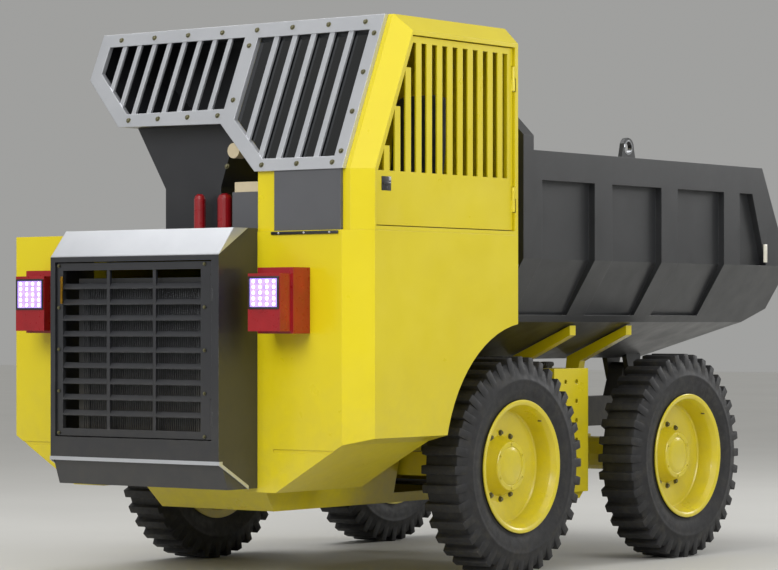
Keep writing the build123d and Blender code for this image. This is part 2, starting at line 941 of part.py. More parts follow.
# Suspension: a strut at each front wheel and a rubber block at each rear one
strut_rod_radius = 45
strut_barrel_radius = 68
strut_barrel_height = 210
strut_foot = axle_z + beam_half_height
rubber_block_radius = 78

with BuildPart() as suspension_struts:
    for side in (-1, 1):
        barrel_low = rail_top - strut_barrel_height
        upright_bar(side * strut_x, front_axle_y, strut_foot, barrel_low, strut_rod_radius)
        upright_bar(side * strut_x, front_axle_y, barrel_low, rail_top, strut_barrel_radius)
        upright_bar(side * seat_middle_x, rear_axle_y, block_seat_top, rail_bottom, rubber_block_radius)
suspension_struts.part.label = "suspension_struts"
export_step(suspension_struts.part, "parts/suspension_struts.step")


# Belly guard: a folded trough under the engine and front axle, its sides cut round the axle
belly_wall = 20
belly_bottom = 578
belly_bottom_half = 600
belly_front_reach = 2230
belly_ramp_reach = 1720
belly_ramp_rear = 860
belly_rear_reach = 1040
belly_notch_front = 150
belly_notch_rear = 310
belly_notch_bottom = 660
shaft_notch_half = 120
shaft_notch_bottom = 930
shaft_notch_length = 200

belly_front_y = front_axle_y - belly_front_reach
belly_rear_y = front_axle_y + belly_rear_reach


def belly_form(wall):
    """Build the trough's outer form, or its inside when a wall is given."""
    bottom = belly_bottom + wall
    with BuildPart() as trough:
        front_form(
            [
                (wall - belly_bottom_half, bottom),
                (belly_bottom_half - wall, bottom),
                (rail_outer_x - wall, rail_bottom),
                (rail_outer_x - wall, rail_bottom + wall),
                (wall - rail_outer_x, rail_bottom + wall),
                (wall - rail_outer_x, rail_bottom),
            ],
            belly_front_y,
            belly_rear_y,
        )
        side_form(
            [
                (belly_front_y + wall, rail_bottom + wall),
                (belly_front_y + wall, rail_bottom),
                (front_axle_y - belly_ramp_reach + wall / 2, bottom),
                (front_axle_y + belly_ramp_rear - wall / 2, bottom),
                (belly_rear_y - wall, rail_bottom),
                (belly_rear_y - wall, rail_bottom + wall),
            ],
            -half_width,
            half_width,
            Mode.INTERSECT,
        )
    return trough


belly_inside = belly_form(belly_wall)
with BuildPart() as belly_guard:
    add(belly_form(0).part)
    add(belly_inside.part, mode=Mode.SUBTRACT)
    block(
        -half_width,
        half_width,
        front_axle_y - belly_notch_front,
        front_axle_y + belly_notch_rear,
        belly_notch_bottom,
        rail_bottom,
        Mode.SUBTRACT,
    )
    block(
        -shaft_notch_half,
        shaft_notch_half,
        belly_rear_y - shaft_notch_length,
        belly_rear_y,
        shaft_notch_bottom,
        rail_bottom,
        Mode.SUBTRACT,
    )
belly_guard.part.label = "belly_guard"
export_step(belly_guard.part, "parts/belly_guard.step")


# Side tanks: one each side between the wheels, behind a perforated guard
tank_inner_x = 930
tank_outer_x = 1350
tank_front_reach = 1110
tank_rear_reach = 1640
tank_bottom = 561
tank_top = 1700
tank_bevel = 60
guard_stand_off = 30
guard_plate = 20
guard_lip = 24
hole_radius = 22
hole_sides = 8
hole_pitch = 169
hole_columns = 2
hole_rows = 6
hanger_length = 80
hanger_inset = 50
hanger_height = 180

tank_front_y = front_axle_y + tank_front_reach
tank_rear_y = front_axle_y + tank_rear_reach

with BuildPart() as side_tanks:
    for side in (-1, 1):
        tank_low = min(side * tank_inner_x, side * tank_outer_x)
        tank_high = max(side * tank_inner_x, side * tank_outer_x)
        side_form(
            [
                (tank_front_y, tank_bottom + tank_bevel),
                (tank_front_y, tank_top),
                (tank_rear_y, tank_top),
                (tank_rear_y, tank_bottom + tank_bevel),
                (tank_rear_y - tank_bevel, tank_bottom),
                (tank_front_y + tank_bevel, tank_bottom),
            ],
            tank_low,
            tank_high,
        )
        guard_inner = side * tank_outer_x
        guard_back = side * (tank_outer_x + guard_stand_off)
        guard_outer = side * (tank_outer_x + guard_stand_off + guard_plate)
        block(
            min(guard_inner, guard_outer),
            max(guard_inner, guard_outer),
            tank_front_y,
            tank_rear_y,
            tank_bottom + tank_bevel,
            tank_top,
        )
        block(
            min(guard_inner, guard_back),
            max(guard_inner, guard_back),
            tank_front_y + guard_lip,
            tank_rear_y - guard_lip,
            tank_bottom + tank_bevel + guard_lip,
            tank_top - guard_lip,
            Mode.SUBTRACT,
        )
        hole_start_z = (tank_top + tank_bottom + tank_bevel) / 2
        with BuildSketch(Plane.YZ.offset(min(guard_back, guard_outer))):
            with Locations(((tank_front_y + tank_rear_y) / 2, hole_start_z)):
                with GridLocations(hole_pitch, hole_pitch, hole_columns, hole_rows):
                    RegularPolygon(hole_radius, hole_sides)
        extrude(amount=guard_plate, mode=Mode.SUBTRACT)
        for hanger_y in (tank_front_y + hanger_inset, tank_rear_y - hanger_inset - hanger_length):
            block(
                min(side * rail_outer_x, side * tank_inner_x),
                max(side * rail_outer_x, side * tank_inner_x),
                hanger_y,
                hanger_y + hanger_length,
                rail_bottom,
                rail_bottom + hanger_height,
            )
side_tanks.part.label = "side_tanks"
export_step(side_tanks.part, "parts/side_tanks.step")


# Dump body: a welded tub with a sloped floor edge, ribbed sides and a ducktail, open behind
tub_half = 1774
tub_bottom_half = 700
tub_fold_x = 1444
tub_bottom = 1774
tub_fold_z = 2104
tub_knee_z = 2632
tub_rail_z = 3539
tub_wall = 110
tub_front_reach = 107
tub_toe_reach = 520
headboard_top = 3919
headboard_depth = 150
headboard_bevel = 260
tub_rear_top_reach = 4010
tail_kink_reach = 3548
tail_bottom = 2232
tail_low_bottom = 2080
tail_step_reach = 4125
pocket_depth = 62
pocket_top = 3292
pocket_start_reach = 380
pocket_length = 800
pocket_pitch = 1072
pocket_count = 3
pocket_floor_margin = 60
tail_pocket_start_reach = 3600
tail_pocket_low_length = 480
tail_pocket_top_length = 230

tub_front_y = front_axle_y + tub_front_reach
tub_toe_y = front_axle_y + tub_toe_reach
tub_rear_top_y = front_axle_y + tub_rear_top_reach
tail_kink_y = front_axle_y + tail_kink_reach
tail_step_y = front_axle_y + tail_step_reach
tail_pocket_y = front_axle_y + tail_pocket_start_reach


def tub_section(wall):
    """Give the tub's outline across the vehicle, drawn in by a wall."""
    right = [
        (tub_bottom_half - wall / 2, tub_bottom + wall),
        (tub_fold_x - wall, tub_fold_z + wall / 2),
        (tub_half - wall, tub_knee_z),
        (tub_half - wall, headboard_top),
    ]
    left = [(-x, z) for x, z in reversed(right)]
    return right + left


# Hoists: two long cylinders lying between the rails, and the brackets that meet them
hoist_x = 330
hoist_eye_radius = 92
hoist_eye_half = 52
hoist_barrel_radius = 98
hoist_barrel_length = 1335
hoist_rod_radius = 56
hoist_rod_start = 130
rod_eye_radius = 64
rod_eye_half = 58
rod_eye_reach = 1850
rod_eye_z = 1690
ear_gap = 6
ear_thickness = 30
ear_half_length = 110
rod_eye_y = front_axle_y + rod_eye_reach
hoist_run = rod_eye_y - hoist_tube_y
hoist_rise = rod_eye_z - hoist_tube_z
hoist_length = hypot(hoist_run, hoist_rise)

# Where the tub's pivot lugs stand beside the frame's ears
lug_plate = 50
lug_gap = 6
lug_half_length = 120

# Lifting eyes: a ring plate stands on each side rail, over the tub's middle
eye_reach = 1767
eye_plate = 40
eye_outer_radius = 86
eye_bore_radius = 50
eye_foot_half = 110
eye_rise = 90
eye_middle_y = front_axle_y + eye_reach
eye_middle_z = tub_rail_z + eye_rise

with BuildPart() as tub_inside:
    front_form(tub_section(tub_wall), tub_front_y + tub_wall, tail_y + overrun)
    side_form(
        [
            (tub_front_y + headboard_depth, headboard_top),
            (tub_front_y + headboard_depth, tub_fold_z + tub_wall),
            (tub_toe_y + tub_wall / 2, tub_bottom + tub_wall),
            (tail_kink_y, tub_bottom + tub_wall),
            (tail_step_y, tail_low_bottom + tub_wall),
            (tail_y + overrun, tail_bottom + tub_wall),
            (tail_y + overrun, headboard_top),
        ],
        -half_width,
        half_width,
        Mode.INTERSECT,
    )

with BuildPart() as dump_body:
    front_form(tub_section(0), tub_front_y, tail_y)
    side_form(
        [
            (tub_front_y, headboard_top),
            (tub_front_y, tub_fold_z),
            (tub_toe_y, tub_bottom),
            (tail_kink_y, tub_bottom),
            (tail_step_y, tail_low_bottom),
            (tail_y, tail_bottom),
            (tail_y, tub_knee_z),
            (tub_rear_top_y, tub_rail_z),
            (tub_front_y + headboard_depth, tub_rail_z),
            (tub_front_y + headboard_depth, headboard_top),
        ],
        -half_width,
        half_width,
        Mode.INTERSECT,
    )
    add(tub_inside.part, mode=Mode.SUBTRACT)
    for side in (-1, 1):
        front_form(
            [
                (side * (tub_half - headboard_bevel), headboard_top),
                (side * tub_half, headboard_top - headboard_bevel),
                (side * (tub_half + overrun), headboard_top - headboard_bevel),
                (side * (tub_half + overrun), headboard_top + overrun),
                (side * (tub_half - headboard_bevel), headboard_top + overrun),
            ],
            tub_front_y - overrun,
            tub_front_y + headboard_depth + overrun,
            Mode.SUBTRACT,
        )
        for index in range(pocket_count):
            pocket_y = front_axle_y + pocket_start_reach + index * pocket_pitch
            front_form(
                [
                    (side * (tub_half + overrun), pocket_top),
                    (side * (tub_half - pocket_depth), pocket_top),
                    (side * (tub_half - pocket_depth), tub_knee_z),
                    (side * (tub_fold_x - pocket_depth + pocket_floor_margin), tub_fold_z + pocket_floor_margin),
                    (side * (tub_half + overrun), tub_fold_z + pocket_floor_margin),
                ],
                pocket_y,
                pocket_y + pocket_length,
                Mode.SUBTRACT,
            )
        tail_pocket_low = min(side * (tub_half - pocket_depth), side * (tub_half + overrun))
        side_form(
            [
                (tail_pocket_y, pocket_top),
                (tail_pocket_y, tub_knee_z),
                (tail_pocket_y + tail_pocket_low_length, tub_knee_z),
                (tail_pocket_y + tail_pocket_top_length, pocket_top),
            ],
            tail_pocket_low,
            tail_pocket_low + pocket_depth + overrun,
            Mode.SUBTRACT,
        )
        for plate_x in (rail_inner_x - lug_gap - lug_plate, rail_outer_x + lug_gap):
            plate_low = min(side * plate_x, side * (plate_x + lug_plate))
            side_form(
                [
                    (pivot_y - lug_half_length, tub_bottom + overrun),
                    (pivot_y - lug_half_length, tub_bottom),
                    (pivot_y - pivot_pin_radius, pivot_z - pivot_pin_radius),
                    (pivot_y + pivot_pin_radius, pivot_z - pivot_pin_radius),
                    (pivot_y + lug_half_length, tub_bottom),
                    (pivot_y + lug_half_length, tub_bottom + overrun),
                ],
                plate_low,
                plate_low + lug_plate,
            )
        eye_low = side * (tub_half - tub_wall / 2) - eye_plate / 2
        with BuildSketch(Plane.YZ.offset(eye_low)) as eye_outline:
            with Locations((eye_middle_y, eye_middle_z)):
                RegularPolygon(eye_outer_radius, bar_sides)
            Polygon([
                (eye_middle_y - eye_foot_half, tub_rail_z - overrun),
                (eye_middle_y - eye_foot_half, tub_rail_z),
                (eye_middle_y - eye_outer_radius, eye_middle_z),
                (eye_middle_y + eye_outer_radius, eye_middle_z),
                (eye_middle_y + eye_foot_half, tub_rail_z),
                (eye_middle_y + eye_foot_half, tub_rail_z - overrun),
            ])
            with Locations((eye_middle_y, eye_middle_z)):
                Circle(eye_bore_radius, mode=Mode.SUBTRACT)
        extrude(eye_outline.sketch, amount=eye_plate)
        pin_inner = rail_inner_x - lug_gap - lug_plate
        pin_outer = rail_outer_x + lug_gap + lug_plate
        pin_low = min(side * pin_inner, side * pin_outer)
        pin_high = max(side * pin_inner, side * pin_outer)
        cross_bar(pin_low, pin_high, pivot_y, pivot_z, pivot_pin_radius)
        for plate_x in (hoist_x - rod_eye_half - ear_gap - ear_thickness, hoist_x + rod_eye_half + ear_gap):
            plate_low = min(side * plate_x, side * (plate_x + ear_thickness))
            side_form(
                [
                    (rod_eye_y - ear_half_length, tub_bottom + overrun),
                    (rod_eye_y - ear_half_length, tub_bottom),
                    (rod_eye_y - rod_eye_radius, rod_eye_z - rod_eye_radius),
                    (rod_eye_y + rod_eye_radius, rod_eye_z - rod_eye_radius),
                    (rod_eye_y + ear_half_length, tub_bottom),
                    (rod_eye_y + ear_half_length, tub_bottom + overrun),
                ],
                plate_low,
                plate_low + ear_thickness,
            )
dump_body.part.label = "dump_body"
export_step(dump_body.part, "parts/dump_body.step")


# Hoist barrels and rods, built along the line from the frame's tube to the tub's bracket
def hoist_line(side):
    """Give the plane across a hoist, with its origin on the frame's tube."""
    return Plane(
        origin=(side * hoist_x, hoist_tube_y, hoist_tube_z),
        x_dir=(1, 0, 0),
        z_dir=(0, hoist_run, hoist_rise),
    )


def hoist_barrel(side):
    """Build one barrel with its eye round the frame's tube."""
    middle = side * hoist_x
    with BuildPart() as barrel:
        line_bar(hoist_line(side), hoist_barrel_radius, hoist_barrel_length)
        cross_bar(middle - hoist_eye_half, middle + hoist_eye_half, hoist_tube_y, hoist_tube_z, hoist_eye_radius)
        bore_line = hoist_line(side).offset(hoist_rod_start - overrun / 2)
        line_bar(bore_line, hoist_rod_radius + seat_gap, hoist_barrel_length, Mode.SUBTRACT)
        bore_low = middle - hoist_barrel_radius - overrun
        bore_high = middle + hoist_barrel_radius + overrun
        bore_radius = hoist_tube_radius + seat_gap
        cross_bar(bore_low, bore_high, hoist_tube_y, hoist_tube_z, bore_radius, Mode.SUBTRACT)
    return barrel


def hoist_rod(side):
    """Build one rod with the eye that meets the tub's bracket."""
    middle = side * hoist_x
    with BuildPart() as rod:
        line_bar(hoist_line(side).offset(hoist_rod_start), hoist_rod_radius, hoist_length - hoist_rod_start)
        cross_bar(middle - rod_eye_half, middle + rod_eye_half, rod_eye_y, rod_eye_z, rod_eye_radius)
    return rod


for hoist_name, hoist_side in (("left", 1), ("right", -1)):
    side_barrel = hoist_barrel(hoist_side)
    side_barrel.part.label = "hoist_barrel_" + hoist_name
    export_step(side_barrel.part, f"parts/hoist_barrel_{hoist_name}.step")
    side_rod = hoist_rod(hoist_side)
    side_rod.part.label = "hoist_rod_" + hoist_name
    export_step(side_rod.part, f"parts/hoist_rod_{hoist_name}.step")


# Cradle arms: four outriggers on the rails that run up under the tub's sloped floor edge
arm_thickness = 90
arm_tip_x = 1402
arm_root_bottom = 1180
arm_root_x = 850
arm_shoulder_x = 905
arm_top_x = 765
arm_tip_depth = 85
arm_shoulder_depth = 102
arm_rest_gap = 12
arm_reaches = [1394, 2294]
tub_slope = (tub_fold_z - tub_bottom) / (tub_fold_x - tub_bottom_half)


def tub_underside(x):
    """Give the height of the tub's sloped underside at a place across the vehicle."""
    return tub_bottom + tub_slope * (x - tub_bottom_half)


with BuildPart() as cradle_arms:
    for arm_place in arm_reaches:
        arm_y = front_axle_y + arm_place
        for side in (-1, 1):
            arm_points = [
                (rail_outer_x, arm_root_bottom),
                (rail_outer_x, rail_top),
                (arm_top_x, tub_underside(arm_top_x) - arm_rest_gap),
                (arm_tip_x, tub_underside(arm_tip_x) - arm_rest_gap),
                (arm_tip_x, tub_underside(arm_tip_x) - arm_rest_gap - arm_tip_depth),
                (arm_shoulder_x, tub_underside(arm_shoulder_x) - arm_rest_gap - arm_shoulder_depth),
                (arm_root_x, rail_top),
            ]
            front_form([(side * x, z) for x, z in arm_points], arm_y - arm_thickness / 2, arm_y + arm_thickness / 2)
cradle_arms.part.label = "cradle_arms"
export_step(cradle_arms.part, "parts/cradle_arms.step")


# Deck: a plate over the engine bay, with the grey equipment box beside the cab
deck_margin = 40
box_left_x = 500
box_right_x = 850
box_front_reach = 2120
box_rear_reach = 1450
box_top = 3135

with BuildPart() as deck_plate:
    block(-module_half, module_half - deck_margin, fender_front_y, bay_rear_y, fender_height, deck_height)
    block(
        box_left_x,
        box_right_x,
        front_axle_y - box_front_reach,
        front_axle_y - box_rear_reach,
        deck_height,
        box_top,
    )
deck_plate.part.label = "deck_plate"
export_step(deck_plate.part, "parts/deck_plate.step")


# Cab: a hollow tower on the left fender, its face raked back, its inner flank cut under
cab_wall = 60
cab_inner_low_x = 858
cab_inner_high_x = 355
flank_top_share = 0.329
tower_rise = roof_height - scuttle_height
cab_flank_top = scuttle_height + tower_rise * flank_top_share
roof_bevel = 132
guard_depth = 45
rake_run = 545
rake_share = rake_run / (roof_height - scuttle_height)
scuttle_thickness = 30

cab_front_y = fender_front_y + guard_depth
cab_rear_y = bay_rear_y


def raked_y(front_y, z):
    """Give the place of the raked face at a height, for the face that starts at front_y."""
    return front_y + (z - scuttle_height) * rake_share


def cab_form(wall):
    """Build the cab's outer form, or its inside when a wall is given."""
    front_y = cab_front_y + wall
    bevel_x = corner_x + guard_depth - wall / 2
    with BuildPart() as form:
        with BuildSketch(Plane.XZ.offset(wall - cab_rear_y)):
            Polygon([
                (cab_inner_low_x, fender_height),
                (half_width, fender_height),
                (half_width, roof_height - roof_bevel),
                (half_width - roof_bevel, roof_height),
                (cab_inner_high_x, roof_height),
                (cab_inner_high_x, cab_flank_top),
                (cab_inner_low_x, scuttle_height),
            ])
            if wall > 0:
                offset(amount=-wall, kind=Kind.INTERSECTION, mode=Mode.REPLACE)
        extrude(amount=cab_rear_y - cab_front_y - 2 * wall)
        top = roof_height + overrun
        side_form(
            [
                (front_y - overrun, scuttle_height),
                (front_y, scuttle_height),
                (raked_y(front_y, top), top),
                (front_y - overrun, top),
            ],
            0,
            half_width + overrun,
            Mode.SUBTRACT,
        )
        corner = [
            (bevel_x - overrun, front_y - overrun),
            (half_width + overrun, front_y + half_width + overrun - bevel_x),
            (half_width + overrun, front_y - overrun),
        ]
        plan_form(corner, fender_height - overrun, scuttle_height, Mode.SUBTRACT)
        with BuildSketch(Plane.XY.offset(scuttle_height)):
            Polygon(corner)
        rake_height = top - scuttle_height
        rake_length = rake_height * hypot(1, rake_share)
        extrude(amount=rake_length, dir=(0, rake_share, 1), mode=Mode.SUBTRACT)
    return form


# Openings in the raked face, each drawn as seen from the front
screen_left_x = 487
screen_side_margin = 291
screen_flank_x = 900
screen_bottom_share = 0.081
screen_top_share = 0.902
screen_flank_share = 0.352
screen_right_x = half_width - screen_side_margin
screen_bottom = scuttle_height + tower_rise * screen_bottom_share
screen_top = scuttle_height + tower_rise * screen_top_share
screen_flank_z = scuttle_height + tower_rise * screen_flank_share
screen_points = [
    (screen_left_x, screen_top),
    (screen_right_x, screen_top),
    (screen_right_x, screen_bottom),
    (screen_flank_x, screen_bottom),
    (screen_left_x, screen_flank_z),
]

# The cab door fills the tower's left wall, from the fender to the roof's bevel
door_margin = 25
door_low_z = 2853
door_roof_margin = 173
door_rear_margin = 50
door_cut_depth = 180
door_high_z = roof_height - door_roof_margin
screen_cut_stop = 240
side_front_y = corner_y
door_rear_y = cab_rear_y - door_rear_margin
cab_hinge_x = half_width - hinge_inset
cab_hinge_y = door_rear_y + panel_gap / 2
cab_hinge_inset_height = 150
cab_hinge_lows = [
    door_low_z + cab_hinge_inset_height,
    door_high_z - cab_hinge_inset_height - hinge_step - hinge_length,
]
cab_fixed_lows = [low + hinge_step for low in cab_hinge_lows]


def door_outline(gap):
    """Give the door's outline along the vehicle, let out by a gap for its opening."""
    front = side_front_y + door_margin
    return [
        (front - gap, door_low_z - gap),
        (front - gap, scuttle_height),
        (raked_y(front - gap, door_high_z + gap), door_high_z + gap),
        (door_rear_y + gap, door_high_z + gap),
        (door_rear_y + gap, door_low_z - gap),
    ]


cab_inside = cab_form(cab_wall)
with BuildPart() as cab_shell:
    add(cab_form(0).part)
    add(cab_inside.part, mode=Mode.SUBTRACT)
    front_form(screen_points, cab_front_y - overrun, cab_rear_y - screen_cut_stop, Mode.SUBTRACT)
    side_form(door_outline(panel_gap), half_width - door_cut_depth, half_width + overrun, Mode.SUBTRACT)
    rear_panel_y = cab_rear_y - cab_wall
    block(
        cab_inner_high_x - overrun,
        half_width + overrun,
        rear_panel_y,
        rear_panel_y + seat_gap,
        fender_height - overrun,
        roof_height + overrun,
        Mode.SUBTRACT,
    )
    hinge_knuckles(cab_hinge_x, cab_hinge_y, cab_fixed_lows, cab_hinge_lows)
cab_shell.part.label = "cab_shell"
export_step(cab_shell.part, "parts/cab_shell.step")


# Cab door: a framed leaf whose window is closed by upright slats
window_sill_drop = 9
window_head_drop = 50
window_bottom = scuttle_height - window_sill_drop
window_top = door_high_z - window_head_drop
window_front_margin = 45
window_rear_margin = 75
slat_pitch = 138
slat_width = 70
slat_depth = 16
door_outer_x = half_width - hinge_inset
door_inner_x = half_width - cab_wall

with BuildPart() as cab_door:
    side_form(door_outline(0), door_inner_x, door_outer_x)
    window_front_y = side_front_y + door_margin + window_front_margin
    window_rear_y = door_rear_y - window_rear_margin
    side_form(
        [
            (raked_y(window_front_y, window_bottom), window_bottom),
            (raked_y(window_front_y, window_top), window_top),
            (window_rear_y, window_top),
            (window_rear_y, window_bottom),
        ],
        door_inner_x - overrun,
        door_outer_x + overrun,
        Mode.SUBTRACT,
    )
    slat_count = int((window_rear_y - window_front_y) / slat_pitch)
    for index in range(slat_count):
        slat_y = window_rear_y - (index + 1) * slat_pitch
        rake_top = scuttle_height + (slat_y - window_front_y) / rake_share
        slat_top = min(window_top, rake_top) + window_front_margin / 2
        block(
            door_outer_x - slat_depth,
            door_outer_x,
            slat_y,
            slat_y + slat_width,
            window_bottom - window_front_margin / 2,
            slat_top,
        )
    hinge_knuckles(cab_hinge_x, cab_hinge_y, cab_hinge_lows, cab_fixed_lows)
cab_door.part.label = "cab_door"
export_step(cab_door.part, "parts/cab_door.step")


# Scuttle: the grey panel between the fender's top and the guard
scuttle_inner_x = 1048
scuttle_side_margin = 206
scuttle_outer_x = half_width - scuttle_side_margin

with BuildPart() as scuttle_panel:
    block(
        scuttle_inner_x,
        scuttle_outer_x,
        cab_front_y - scuttle_thickness,
        cab_front_y,
        fender_height,
        scuttle_height,
    )
scuttle_panel.part.label = "scuttle_panel"
export_step(scuttle_panel.part, "parts/scuttle_panel.step")


# Guard: the bright raked frame across cab and air housing, with bars up both openings
guard_left_x = -1242
guard_left_share = 0.684
guard_left_foot_x = -751
guard_foot_share = 0.342
guard_far_inner_x = 347
guard_far_left_x = -1132
guard_far_top_share = 0.911
guard_far_bottom_share = 0.428
guard_far_corner_x = -705
guard_far_corner_share = 0.725
near_bar_count = 5
near_bar_width = 50
far_bar_count = 8
far_bar_width = 44
bar_front_inset = 10
bar_rear_inset = 10
guard_left_low_z = scuttle_height + tower_rise * guard_left_share
guard_foot_z = scuttle_height + tower_rise * guard_foot_share
guard_far_top = scuttle_height + tower_rise * guard_far_top_share
guard_far_bottom = scuttle_height + tower_rise * guard_far_bottom_share
guard_far_corner_z = scuttle_height + tower_rise * guard_far_corner_share
guard_points = [
    (corner_x, roof_height),
    (guard_left_x, roof_height),
    (guard_left_x, guard_left_low_z),
    (guard_left_foot_x, guard_foot_z),
    (cab_inner_high_x, cab_flank_top),
    (cab_inner_low_x, scuttle_height),
    (corner_x, scuttle_height),
]
guard_far_points = [
    (guard_far_left_x, guard_far_top),
    (guard_far_inner_x, guard_far_top),
    (guard_far_inner_x, guard_far_bottom),
    (guard_far_corner_x, guard_far_bottom),
    (guard_far_left_x, guard_far_corner_z),
]


def raked_slab(front_inset, rear_inset):
    """Cut the part being built to a slab that lies along the raked face."""
    front_y = fender_front_y + front_inset
    rear_y = cab_front_y - rear_inset
    side_form(
        [
            (front_y, scuttle_height),
            (rear_y, scuttle_height),
            (raked_y(rear_y, roof_height), roof_height),
            (raked_y(front_y, roof_height), roof_height),
        ],
        -half_width,
        half_width,
        Mode.INTERSECT,
    )


def guard_bars(opening, left_x, right_x, count, width):
    """Build one opening's bars, spaced evenly and clipped to that opening."""
    pitch = (right_x - left_x) / (count + 1)
    bar_bottom = scuttle_height - overrun
    bar_top = roof_height + overrun
    with BuildPart() as bars:
        for index in range(count):
            bar_x = left_x + (index + 1) * pitch - width / 2
            block(bar_x, bar_x + width, fender_front_y, cab_rear_y, bar_bottom, bar_top)
        with BuildSketch(Plane.XZ.offset(-cab_rear_y)):
            Polygon(opening)
        extrude(amount=cab_rear_y - fender_front_y, mode=Mode.INTERSECT)
        raked_slab(bar_front_inset, bar_rear_inset)
    return bars


near_bars = guard_bars(screen_points, screen_left_x, screen_right_x, near_bar_count, near_bar_width)
far_bars = guard_bars(guard_far_points, guard_far_left_x, guard_far_inner_x, far_bar_count, far_bar_width)
with BuildPart() as guard_frame:
    front_form(guard_points, fender_front_y - overrun, cab_rear_y)
    front_form(screen_points, fender_front_y - overrun, cab_rear_y, Mode.SUBTRACT)
    front_form(guard_far_points, fender_front_y - overrun, cab_rear_y, Mode.SUBTRACT)
    raked_slab(0, 0)
    add(near_bars.part)
    add(far_bars.part)
guard_frame.part.label = "guard_frame"
export_step(guard_frame.part, "parts/guard_frame.step")


# Windscreen: one dark pane set in the cab's raked face, behind the bars
pane_thickness = 14

with BuildPart() as windscreen:
    pane_front = cab_front_y + seat_gap
    pane_rear = pane_front + pane_thickness
    with BuildSketch(Plane.XZ.offset(-cab_rear_y)):
        Polygon(screen_points)
        offset(amount=-seat_gap, kind=Kind.INTERSECTION, mode=Mode.REPLACE)
    extrude(amount=cab_rear_y - fender_front_y)
    side_form(
        [
            (pane_front, scuttle_height),
            (pane_rear, scuttle_height),
            (raked_y(pane_rear, roof_height), roof_height),
            (raked_y(pane_front, roof_height), roof_height),
        ],
        0,
        half_width,
        Mode.INTERSECT,
    )
windscreen.part.label = "windscreen"
export_step(windscreen.part, "parts/windscreen.step")


# Air housing: a hollow box beside the cab, open to the front behind the guard
housing_wall = 40
housing_rear_reach = 900
housing_rear_y = front_axle_y - housing_rear_reach


def housing_form(wall):
    """Build the air housing's outer form, or its inside when a wall is given."""
    front_y = cab_front_y - wall
    with BuildPart() as form:
        with BuildSketch(Plane.XZ.offset(wall - housing_rear_y)):
            Polygon([
                (cab_inner_high_x, roof_height),
                (guard_left_x, roof_height),
                (guard_left_x, guard_left_low_z),
                (guard_left_foot_x, guard_foot_z),
                (cab_inner_high_x, guard_foot_z),
            ])
            if wall > 0:
                offset(amount=-wall, kind=Kind.INTERSECTION, mode=Mode.REPLACE)
        extrude(amount=housing_rear_y - wall - front_y)
        top = roof_height + overrun
        side_form(
            [
                (front_y - overrun, scuttle_height),
                (front_y, scuttle_height),
                (raked_y(front_y, top), top),
                (front_y - overrun, top),
            ],
            guard_left_x - overrun,
            half_width,
            Mode.SUBTRACT,
        )
    return form


housing_inside = housing_form(housing_wall)
with BuildPart() as intake_housing:
    add(housing_form(0).part)
    add(housing_inside.part, mode=Mode.SUBTRACT)
intake_housing.part.label = "intake_housing"
export_step(intake_housing.part, "parts/intake_housing.step")


# Intake duct: a flared column from the deck to the air housing's underside
duct_left_x = -445
duct_right_x = 150
duct_waist_z = 3196
duct_top_right_x = 330
duct_front_reach = 1850
duct_rear_reach = 1050
duct_wall = 16

duct_front_y = front_axle_y - duct_front_reach
duct_rear_y = front_axle_y - duct_rear_reach

with BuildPart() as intake_duct:
    front_form(
        [
            (duct_left_x, deck_height),
            (duct_left_x, duct_waist_z),
            (guard_left_foot_x, guard_foot_z),
            (duct_top_right_x, guard_foot_z),
            (duct_right_x, duct_waist_z),
            (duct_right_x, deck_height),
        ],
        duct_front_y,
        duct_rear_y,
    )
    front_form(
        [
            (duct_left_x + duct_wall, deck_height - overrun),
            (duct_left_x + duct_wall, duct_waist_z),
            (guard_left_foot_x + duct_wall, guard_foot_z),
            (guard_left_foot_x + duct_wall, guard_foot_z + overrun),
            (duct_top_right_x - duct_wall, guard_foot_z + overrun),
            (duct_top_right_x - duct_wall, guard_foot_z),
            (duct_right_x - duct_wall, duct_waist_z),
            (duct_right_x - duct_wall, deck_height - overrun),
        ],
        duct_front_y + duct_wall,
        duct_rear_y - duct_wall,
        Mode.SUBTRACT,
    )
intake_duct.part.label = "intake_duct"
export_step(intake_duct.part, "parts/intake_duct.step")


# Air bottles: two red bottles with domed ends, standing on the deck before the duct
bottle_height = 300
bottle_dome = 40
bottle_reach = 1960
bottle_shoulder = 14
bottle_neck = 22
shoulder_share = 0.8
# Each bottle: (place across, radius)
bottles = [(20, 48), (286, 60)]

with BuildPart() as air_bottles:
    for bottle_x, bottle_radius in bottles:
        bottle_y = front_axle_y - bottle_reach
        bottle_top = deck_height + bottle_height
        outlines = []
        for height, radius in (
            (deck_height, bottle_radius),
            (bottle_top - bottle_dome, bottle_radius),
            (bottle_top - bottle_shoulder, bottle_radius * shoulder_share),
            (bottle_top, bottle_neck),
        ):
            with BuildSketch(Plane.XY.offset(height)) as outline:
                with Locations((bottle_x, bottle_y)):
                    RegularPolygon(radius, bar_sides)
            outlines.append(outline.sketch)
        loft(outlines, ruled=True)
air_bottles.part.label = "air_bottles"
export_step(air_bottles.part, "parts/air_bottles.step")


# Lamp housings on the fenders' faces, and the lit panels set into them
lamp_inner_x = 1064
lamp_outer_x = 1419
lamp_bottom = 2013
lamp_top = 2525
lamp_back_depth = 206
lamp_front_depth = 140
lamp_front_drop = 48
lamp_front_side = 18
lit_bottom = 2219
lit_top = 2438
lit_inset = 42
lit_depth = 16
lit_proud = 4

lamp_face_y = fender_front_y - lamp_back_depth - lamp_front_depth

